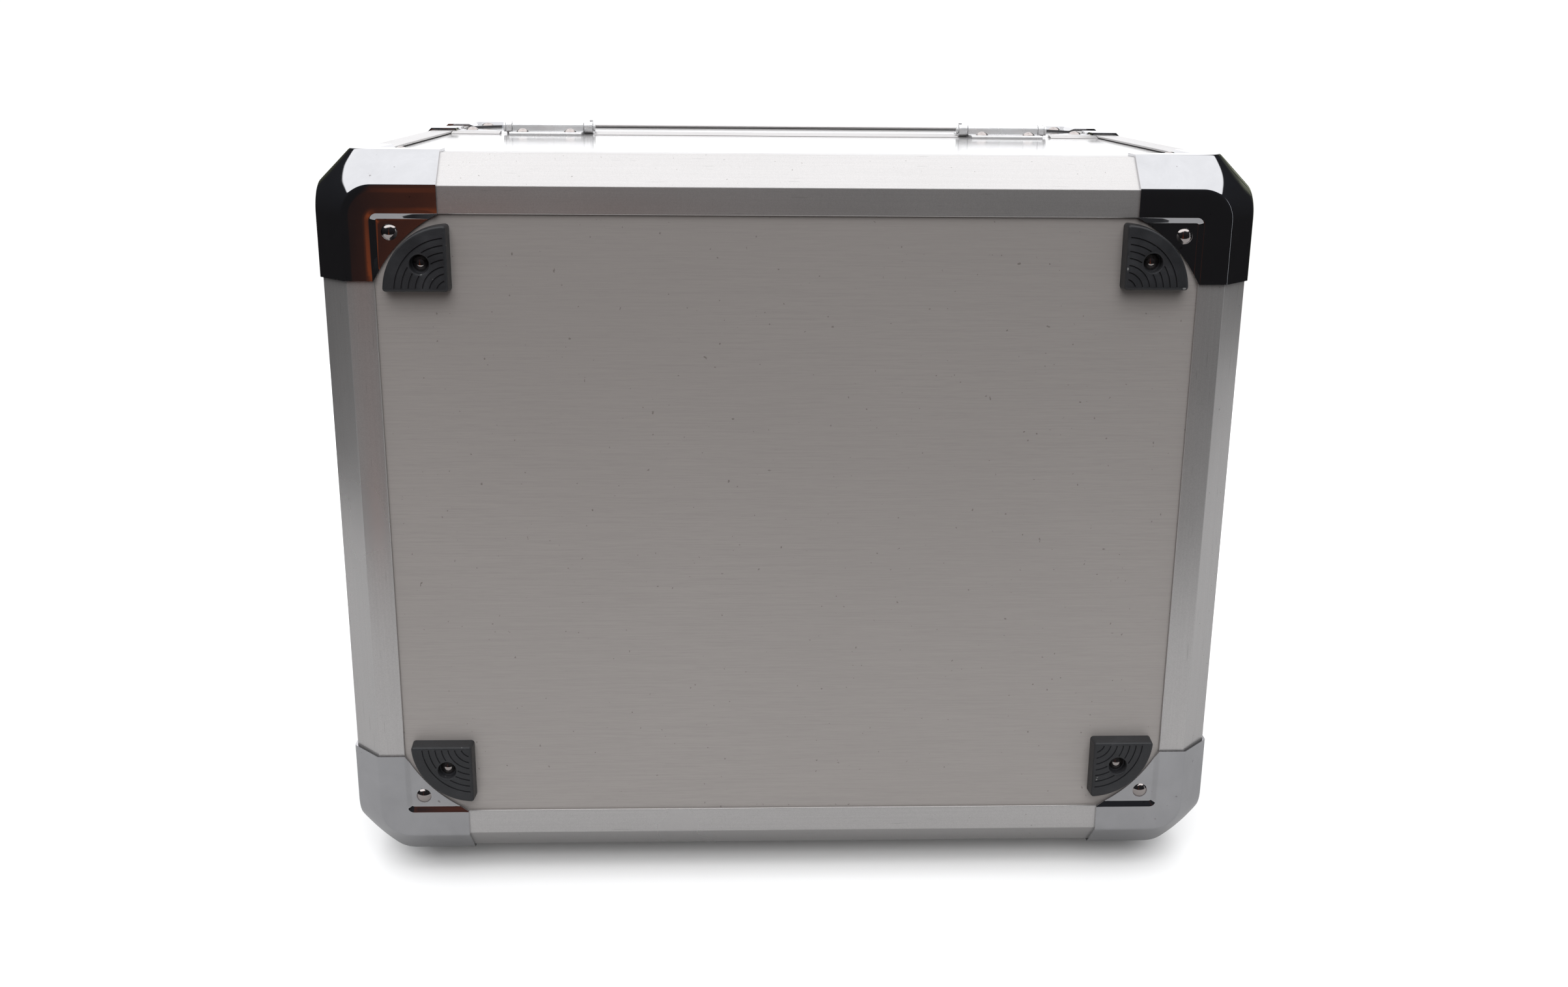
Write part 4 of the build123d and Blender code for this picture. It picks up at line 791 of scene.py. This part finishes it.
# ------------------------------------------------------------------ fittings carried over from CAD, with eased edges
def eased(node, name, body, mat, width, angle=28.0, seg=2):
    """A CAD node's own shape with its sharp edges eased by a small radius."""
    me = NODES[node].data.copy()
    me.name = name
    me.materials.clear()
    me.materials.append(mat)
    bm = bmesh.new()
    bm.from_mesh(me)
    bmesh.ops.remove_doubles(bm, verts=bm.verts, dist=2e-6)
    bmesh.ops.dissolve_limit(bm, angle_limit=math.radians(0.8), verts=bm.verts, edges=bm.edges, delimit={"NORMAL"})
    bmesh.ops.recalc_face_normals(bm, faces=bm.faces)
    picked = [e for e in bm.edges if e.is_manifold and e.calc_face_angle(0) > math.radians(angle) and e.calc_length() > 1e-4]
    bmesh.ops.bevel(bm, geom=picked, offset=width * 0.001, segments=seg, profile=0.5, affect="EDGES", clamp_overlap=True)
    for face in bm.faces:
        face.material_index = 0
    bm.to_mesh(me)
    bm.free()
    if me.has_custom_normals:
        me.attributes.remove(me.attributes["custom_normal"])
    finish_mesh(me, 36)
    obj = bpy.data.objects.new(name, me)
    bpy.context.scene.collection.objects.link(obj)
    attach(obj, body)
    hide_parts(node)
    return obj


body_of = {n: b for b, ns in frame["record"]["behaviour"]["bodies"].items() for n in ns}
EASED = [
    ("hinge_left_base_leaf", "hinge_chrome", "hinge", 0.25), ("hinge_right_base_leaf", "hinge_chrome", "hinge", 0.25),
    ("hinge_left_lid_leaf", "hinge_chrome", "hinge", 0.25), ("hinge_right_lid_leaf", "hinge_chrome", "hinge", 0.25),
    ("hinge_pins", "hinge_chrome", "hinge", 0.3),
    ("latch_housing_left", "latch_chrome", "latch", 0.3), ("latch_housing_right", "latch_chrome", "latch", 0.3),
    ("latch_lever_left", "latch_chrome", "latch", 0.3), ("latch_lever_right", "latch_chrome", "latch", 0.3),
    ("latch_hook_left", "latch_chrome", "latch", 0.3), ("latch_hook_right", "latch_chrome", "latch", 0.3),
    ("latch_strikes", "latch_chrome", "latch", 0.3), ("latch_pivot_pins", "latch_chrome", "latch", 0.3),
    ("handle_bracket_left", "handle_steel", "steel", 0.4), ("handle_bracket_right", "handle_steel", "steel", 0.4),
    ("handle_pivot_pins", "handle_steel", "steel", 0.4), ("handle_bail", "handle_steel", "steel", 0.5),
    ("lid_rim_plates", "cap_chrome", "cap", 0.25),
    ("base_rim_rails", "extrusion", "ext_x", 0.2), ("lid_rim_rails", "extrusion", "ext_x", 0.2),
]
for node, slot_name, key, width in EASED:
    eased(node, node + "_eased", body_of[node], M[key], width)

for node, key in {
    "bottom_skin": "skin_x", "base_rear_skin": "skin_rear", "base_front_skin": "skin_x", "lid_top_skin": "skin_x",
    "lid_rear_skin": "skin_rear", "lid_front_skin": "skin_x", "base_left_skin": "skin_y", "base_right_skin": "skin_y",
    "lid_left_skin": "skin_y", "lid_right_skin": "skin_y", "base_boards": "board", "lid_boards": "board",
}.items():
    for s_ in NODES[node].material_slots:
        s_.material = M[key]


# ------------------------------------------------------------------ handle grip
def grip():
    """Moulded grip: four finger waves, a collar at each end and a parting ridge."""
    py, pz = YB + HANDLE_Y - 36.0, FRONT_FACE - 8.4
    half, n, seg = HANDLE_X - 4.4, 90, 48
    verts, faces = [], []
    for i in range(n + 1):
        x = -half + 2 * half * i / n
        d = half - abs(x)
        collar = math.exp(-((d - 2.2) / 1.7) ** 2)
        wave = 0.5 - 0.5 * math.cos(2 * math.pi * (x + half) / (half / 2))
        shrink = 0.90 - 0.07 * (1 - wave) * min(1, d / 10) + 0.09 * collar
        end = min(1.0, math.sqrt(max(0.0, 1 - (1 - min(1, d / 1.0)) ** 2)) * 0.18 + 0.82)
        for k in range(seg):
            a = 2 * math.pi * k / seg
            ridge = 1 + 0.02 * math.exp(-(math.sin(a) / 0.07) ** 2)
            e = 0.86                                           # squared ellipse
            ca, sa = math.cos(a), math.sin(a)
            verts.append((x, py + 10.9 * shrink * end * ridge * math.copysign(abs(ca) ** e, ca),
                          pz + 6.4 * (0.5 + 0.5 * shrink) * end * math.copysign(abs(sa) ** e, sa)))
    for i in range(n):
        for k in range(seg):
            a, b = i * seg, (i + 1) * seg
            k2 = (k + 1) % seg
            faces.append((a + k, a + k2, b + k2, b + k))
    faces.append(tuple(range(seg)))
    faces.append(tuple(range(n * seg + seg - 1, n * seg - 1, -1)))
    piece("handle_moulded_grip", verts, faces, "handle", M["grip"], ["handle_grip"], smooth=45)


grip()


# ------------------------------------------------------------------ foam lining
def block(x0, x1, y0, y1, z0, z1, top, step=2.4, r=3.4, inner_r=0.0):
    """A foam block whose face opposite y0 follows top(x, z); its sides are straight."""
    nx, nz = max(2, int((x1 - x0) / step)), max(2, int((z1 - z0) / step))
    xs_ = [x0 + (x1 - x0) * i / nx for i in range(nx + 1)]
    zs_ = [z0 + (z1 - z0) * j / nz for j in range(nz + 1)]
    verts, faces = [], []
    grid = {}
    for side in (0, 1):
        for i, x in enumerate(xs_):
            for j, z in enumerate(zs_):
                grid[side, i, j] = len(verts)
                verts.append((x, y0 if side == 0 else top(x, z), z))
    for side in (0, 1):
        for i in range(nx):
            for j in range(nz):
                faces.append((grid[side, i, j], grid[side, i + 1, j], grid[side, i + 1, j + 1], grid[side, i, j + 1]))
    for i in range(nx):
        for j in (0, nz):
            faces.append((grid[0, i, j], grid[0, i + 1, j], grid[1, i + 1, j], grid[1, i, j]))
    for j in range(nz):
        for i in (0, nx):
            faces.append((grid[0, i, j], grid[0, i, j + 1], grid[1, i, j + 1], grid[1, i, j]))
    return verts, faces


def foam_top(y_low, y_high, amp, pitch=26.0):
    """Egg-crate face between two heights."""
    def f(x, z):
        c = math.cos(2 * math.pi * x / pitch) * math.cos(2 * math.pi * (z - 174.6) / pitch)
        edge = min(x + XS - FOAM_S, XS - FOAM_S - x, z - ZF - FOAM_S, ZR - FOAM_S - z)
        w = min(1.0, max(0.0, edge / 5.0))
        w = w * w * (3 - 2 * w)
        return y_high + (y_low - y_high) * ((0.5 + 0.5 * c) * w + (1 - w) * 0.35)
    return f


x0, x1 = -XS + FOAM_S + 0.2, XS - FOAM_S - 0.2
z0, z1 = ZF + FOAM_S + 0.2, ZR - FOAM_S - 0.2
fy0, fy1, fy2 = YB + FOAM_S, YB + 58.0, BASE_END - 8.0
lid_y1 = YL - FOAM_S
v, f = block(x0, x1, lid_y1 - 0.3, None, z0, z1, foam_top(lid_y1 - 14.0, lid_y1 - 27.6, 1), step=2.2)
o = piece("lid_convoluted_foam", v, f, "lid", M["lid_foam"], ["lid_foam"], smooth=60)


def slab(name, outer, holes, y_lo, y_hi, body, nodes, ease=1.6):
    """A foam slab with pockets cut through it; every edge of the upper face is eased."""
    pts, edges, loops = [], [], []

    def add(loop):
        first = len(pts)
        pts.extend(Vector(p) for p in loop)
        k = len(loop)
        edges.extend((first + i, first + (i + 1) % k) for i in range(k))
        loops.append(list(range(first, first + k)))

    def offset(loop, d):
        out, n_ = [], len(loop)
        for i in range(n_):
            a, b, c = (np.array(loop[j % n_], float) for j in (i - 1, i, i + 1))
            t = (c - b) / max(1e-9, np.linalg.norm(c - b)) + (b - a) / max(1e-9, np.linalg.norm(b - a))
            t = t / max(1e-9, np.linalg.norm(t))
            out.append(tuple(b + d * np.array([-t[1], t[0]])))
        return out

    area = lambda l: 0.5 * sum(l[i - 1][0] * l[i][1] - l[i][0] * l[i - 1][1] for i in range(len(l)))
    outer = outer if area(outer) > 0 else outer[::-1]
    holes = [h if area(h) < 0 else h[::-1] for h in holes]
    verts, faces = [], []
    tops, bottoms = [], []
    for loop in [outer] + holes:
        prev = None
        for d, y in [(0.0, y_lo), (0.0, y_hi - ease), (ease * 0.12, y_hi - ease * 0.45), (ease * 0.45, y_hi - ease * 0.12), (ease, y_hi)]:
            cur = list(range(len(verts), len(verts) + len(loop)))
            verts += [(p, y, q) for p, q in offset(loop, d)]
            if prev is None:
                bottoms.append(cur)
            else:
                k = len(cur)
                faces += [(prev[i], prev[(i + 1) % k], cur[(i + 1) % k], cur[i]) for i in range(k)]
            prev = cur
        tops.append(prev)
    for group in (tops, bottoms):
        pts, edges, loops = [], [], []
        ids = []
        polys = []
        for g in group:
            loop = [(verts[i][0], verts[i][2]) for i in g]
            polys.append(loop)
            add(loop)
            ids += g
        ov, _, of_, orig, _, _ = delaunay_2d_cdt(pts, edges, [], 0, 1e-5)
        for tri in of_:
            c = sum((ov[i] for i in tri), Vector((0, 0))) / 3
            hit = [sum(((poly[i - 1][1] > c[1]) != (poly[i][1] > c[1])) and c[0] < (poly[i][0] - poly[i - 1][0]) * (c[1] - poly[i - 1][1]) / (poly[i][1] - poly[i - 1][1]) + poly[i - 1][0] for i in range(len(poly))) % 2 == 1 for poly in polys]
            if hit[0] and not any(hit[1:]):
                faces.append(tuple(ids[orig[i][0]] for i in tri))
    o_ = piece(name, verts, faces, body, M["foam"], nodes, smooth=40)
    return o_


def rounded_box(a0, a1, b0, b1, r, seg=7):
    return rounded([(a0, b0), (a1, b0), (a1, b1), (a0, b1)], [r] * 4, seg)


slab("foam_floor", rounded_box(x0, x1, z0, z1, 4.5), [], fy0 + 3.2, fy1 - 0.1, "base", ["foam_floor_pad"])
pockets = [(-158.0, 62.0, 40.0, 281.0), (86.0, 162.0, 40.0, 150.0), (86.0, 162.0, 172.0, 281.0)]
slab("foam_pockets", rounded_box(x0, x1, z0, z1, 4.5), [rounded_box(a, b, ZF + c, ZF + d, 12.0, 10) for a, b, c, d in pockets],
     fy1 + 0.1, fy2, "base", ["foam_insert"])

# ------------------------------------------------------------------ floor, light and surroundings
floor = bpy.data.meshes.new("studio_floor")
floor.from_pydata([(-0.85, -0.62, 0), (1.5, -0.62, 0), (1.5, 1.1, 0), (-0.85, 1.1, 0)], [], [(0, 1, 2, 3)])
floor_obj = bpy.data.objects.new("studio_floor", floor)
bpy.context.scene.collection.objects.link(floor_obj)
g = Graph("pale_floor")
g.link(g.ramp(g.noise(g.mapped((3, 3, 3))), [(0.3, 0.88), (0.7, 0.90)]), g.bsdf.inputs["Base Color"])
g.set(Roughness=0.9)
g.bsdf.inputs["Specular IOR Level"].default_value = 0.0
# the paper is pale grey in the reflections, and its open part is exposed to white in the picture
grey = g.t.nodes.new("ShaderNodeBsdfDiffuse")
g.link(g.ramp(g.noise(g.mapped((3, 3, 3), shift=(1, 1, 0))), [(0.3, 0.33), (0.7, 0.35)]), grey.inputs["Color"])
seen = g.t.nodes.new("ShaderNodeMixShader")
ray = g.t.nodes.new("ShaderNodeLightPath")
g.link(ray.outputs["Is Camera Ray"], seen.inputs[0])
g.link(grey.outputs[0], seen.inputs[1])
g.link(g.bsdf.outputs[0], seen.inputs[2])
g.link(seen.outputs[0], g.out.inputs["Surface"])
floor.materials.append(g.mat)


def sun(name, azimuth_deg, elevation_deg, strength, spread):
    d = bpy.data.lights.new(name, "SUN")
    d.energy, d.angle = strength, math.radians(spread)
    o_ = bpy.data.objects.new(name, d)
    a, e = math.radians(azimuth_deg), math.radians(elevation_deg)
    to_light = Vector((math.sin(a) * math.cos(e), math.cos(a) * math.cos(e), math.sin(e)))
    o_.rotation_euler = to_light.to_track_quat("Z", "Y").to_euler()
    bpy.context.scene.collection.objects.link(o_)
    o_.visible_camera = False
    o_.visible_glossy = False
    return o_


sun("soft_front", 180, 40, 3.0, 50)

world = bpy.data.worlds.new("studio")
bpy.context.scene.world = world
world.use_nodes = True
t = world.node_tree
t.nodes.clear()
out = t.nodes.new("ShaderNodeOutputWorld")
path = t.nodes.new("ShaderNodeLightPath")
coord = t.nodes.new("ShaderNodeTexCoord").outputs["Generated"]


def wnode(kind, **props):
    n = t.nodes.new(kind)
    for k, v_ in props.items():
        setattr(n, k, v_)
    return n


def wmap(value, a, b, lo, hi):
    n = wnode("ShaderNodeMapRange", interpolation_type="SMOOTHSTEP")
    for k, v_ in (("From Min", a), ("From Max", b), ("To Min", lo), ("To Max", hi)):
        n.inputs[k].default_value = v_
    t.links.new(value, n.inputs["Value"])
    return n.outputs["Result"]


def wmix(fac, a, b):
    n = wnode("ShaderNodeMix", data_type="RGBA")
    for key, v_ in ((0, fac), (6, a), (7, b)):
        if isinstance(v_, tuple):
            n.inputs[key].default_value = (*v_, 1)
        elif isinstance(v_, (int, float)):
            n.inputs[key].default_value = v_
        else:
            t.links.new(v_, n.inputs[key])
    return n.outputs[2]


def wmul(a, b):
    n = wnode("ShaderNodeMath", operation="MULTIPLY")
    for i, v_ in enumerate((a, b)):
        if isinstance(v_, (int, float)):
            n.inputs[i].default_value = v_
        else:
            t.links.new(v_, n.inputs[i])
    return n.outputs[0]


def wmath(how, a, b=None, c=None):
    n = wnode("ShaderNodeMath", operation=how)
    for i, v_ in enumerate((a, b, c)):
        if isinstance(v_, (int, float)):
            n.inputs[i].default_value = v_
        elif v_ is not None:
            t.links.new(v_, n.inputs[i])
    return n.outputs[0]


# The room is described by azimuth from the backdrop (left is negative) and by elevation, both in degrees.
split = wnode("ShaderNodeSeparateXYZ")
t.links.new(coord, split.inputs[0])
azimuth = wmath("DEGREES", wmath("ARCTAN2", split.outputs[0], split.outputs[1]))
elevation = wmath("DEGREES", wmath("ARCSINE", split.outputs[2]))
turn = wmath("ABSOLUTE", azimuth)
patch = wnode("ShaderNodeTexNoise")
patch.inputs["Scale"].default_value = 9.0
patch.inputs["Detail"].default_value = 3.0
t.links.new(coord, patch.inputs["Vector"])
mottle = patch.outputs["Fac"]

room = wmix(wmap(elevation, -30, 40, 0, 1), (0.012, 0.011, 0.011), (0.026, 0.027, 0.031))
# warm wood and brick seen low in front, a little left of the camera
warm_l = wmul(wmap(azimuth, -176.0, -171.0, 0, 1), wmap(azimuth, -168.2, -165.4, 1, 0))
warm_l = wmul(warm_l, wmap(elevation, -8.5, -4.5, 1, 0.35))
warm_l = wmul(warm_l, wmap(mottle, 0.36, 0.56, 0.3, 1))
room = wmix(warm_l, room, (0.27, 0.066, 0.025))
# foliage and sky light low at the sides, behind
green_l = wmul(wmap(azimuth, -46, -34, 0, 1), wmap(azimuth, -24, -16, 1, 0))
room = wmix(wmul(green_l, wmap(elevation, 22, 8, 0, 1)), room, (0.062, 0.066, 0.045))
green_r = wmul(wmap(azimuth, 18, 26, 0, 1), wmap(azimuth, 40, 62, 1, 0))
green_r = wmul(green_r, wmap(mottle, 0.40, 0.60, 0.12, 1))
room = wmix(wmul(green_r, wmap(elevation, 26, 10, 0, 1)), room, (0.36, 0.38, 0.28))
# a narrow window far to the right
strip = wmul(wmap(azimuth, 108, 110, 0, 1), wmap(azimuth, 113, 115, 1, 0))
room = wmix(wmul(strip, wmap(elevation, 30, 20, 0, 1)), room, (0.9, 0.95, 1.0))
# overhead light, which comes down lower at the sides than in front, and joins the white sweep behind
edge_side = wmap(azimuth, -20, 20, 32.5, 38.5)
edge_front = wmap(turn, 120, 168, 0, 15.0)
edge = wmath("ADD", edge_side, edge_front)
above = wmap(wmath("SUBTRACT", elevation, edge), -1.2, 1.2, 0, 1)
room = wmix(above, room, (1.53, 1.54, 1.56))
sweep = wmul(wmap(turn, 17, 21, 1, 0), wmap(elevation, -60, -50, 0, 1))
room = wmix(sweep, room, (1.26, 1.26, 1.28))
room_bg = wnode("ShaderNodeBackground")
t.links.new(room, room_bg.inputs["Color"])
cam_bg = wnode("ShaderNodeBackground")
cam_bg.inputs["Color"].default_value = (1, 1, 1, 1)
cam_bg.inputs["Strength"].default_value = 1.05
mix2 = wnode("ShaderNodeMixShader")
t.links.new(path.outputs["Is Camera Ray"], mix2.inputs[0])
t.links.new(room_bg.outputs[0], mix2.inputs[1])
t.links.new(cam_bg.outputs[0], mix2.inputs[2])
t.links.new(mix2.outputs[0], out.inputs["Surface"])
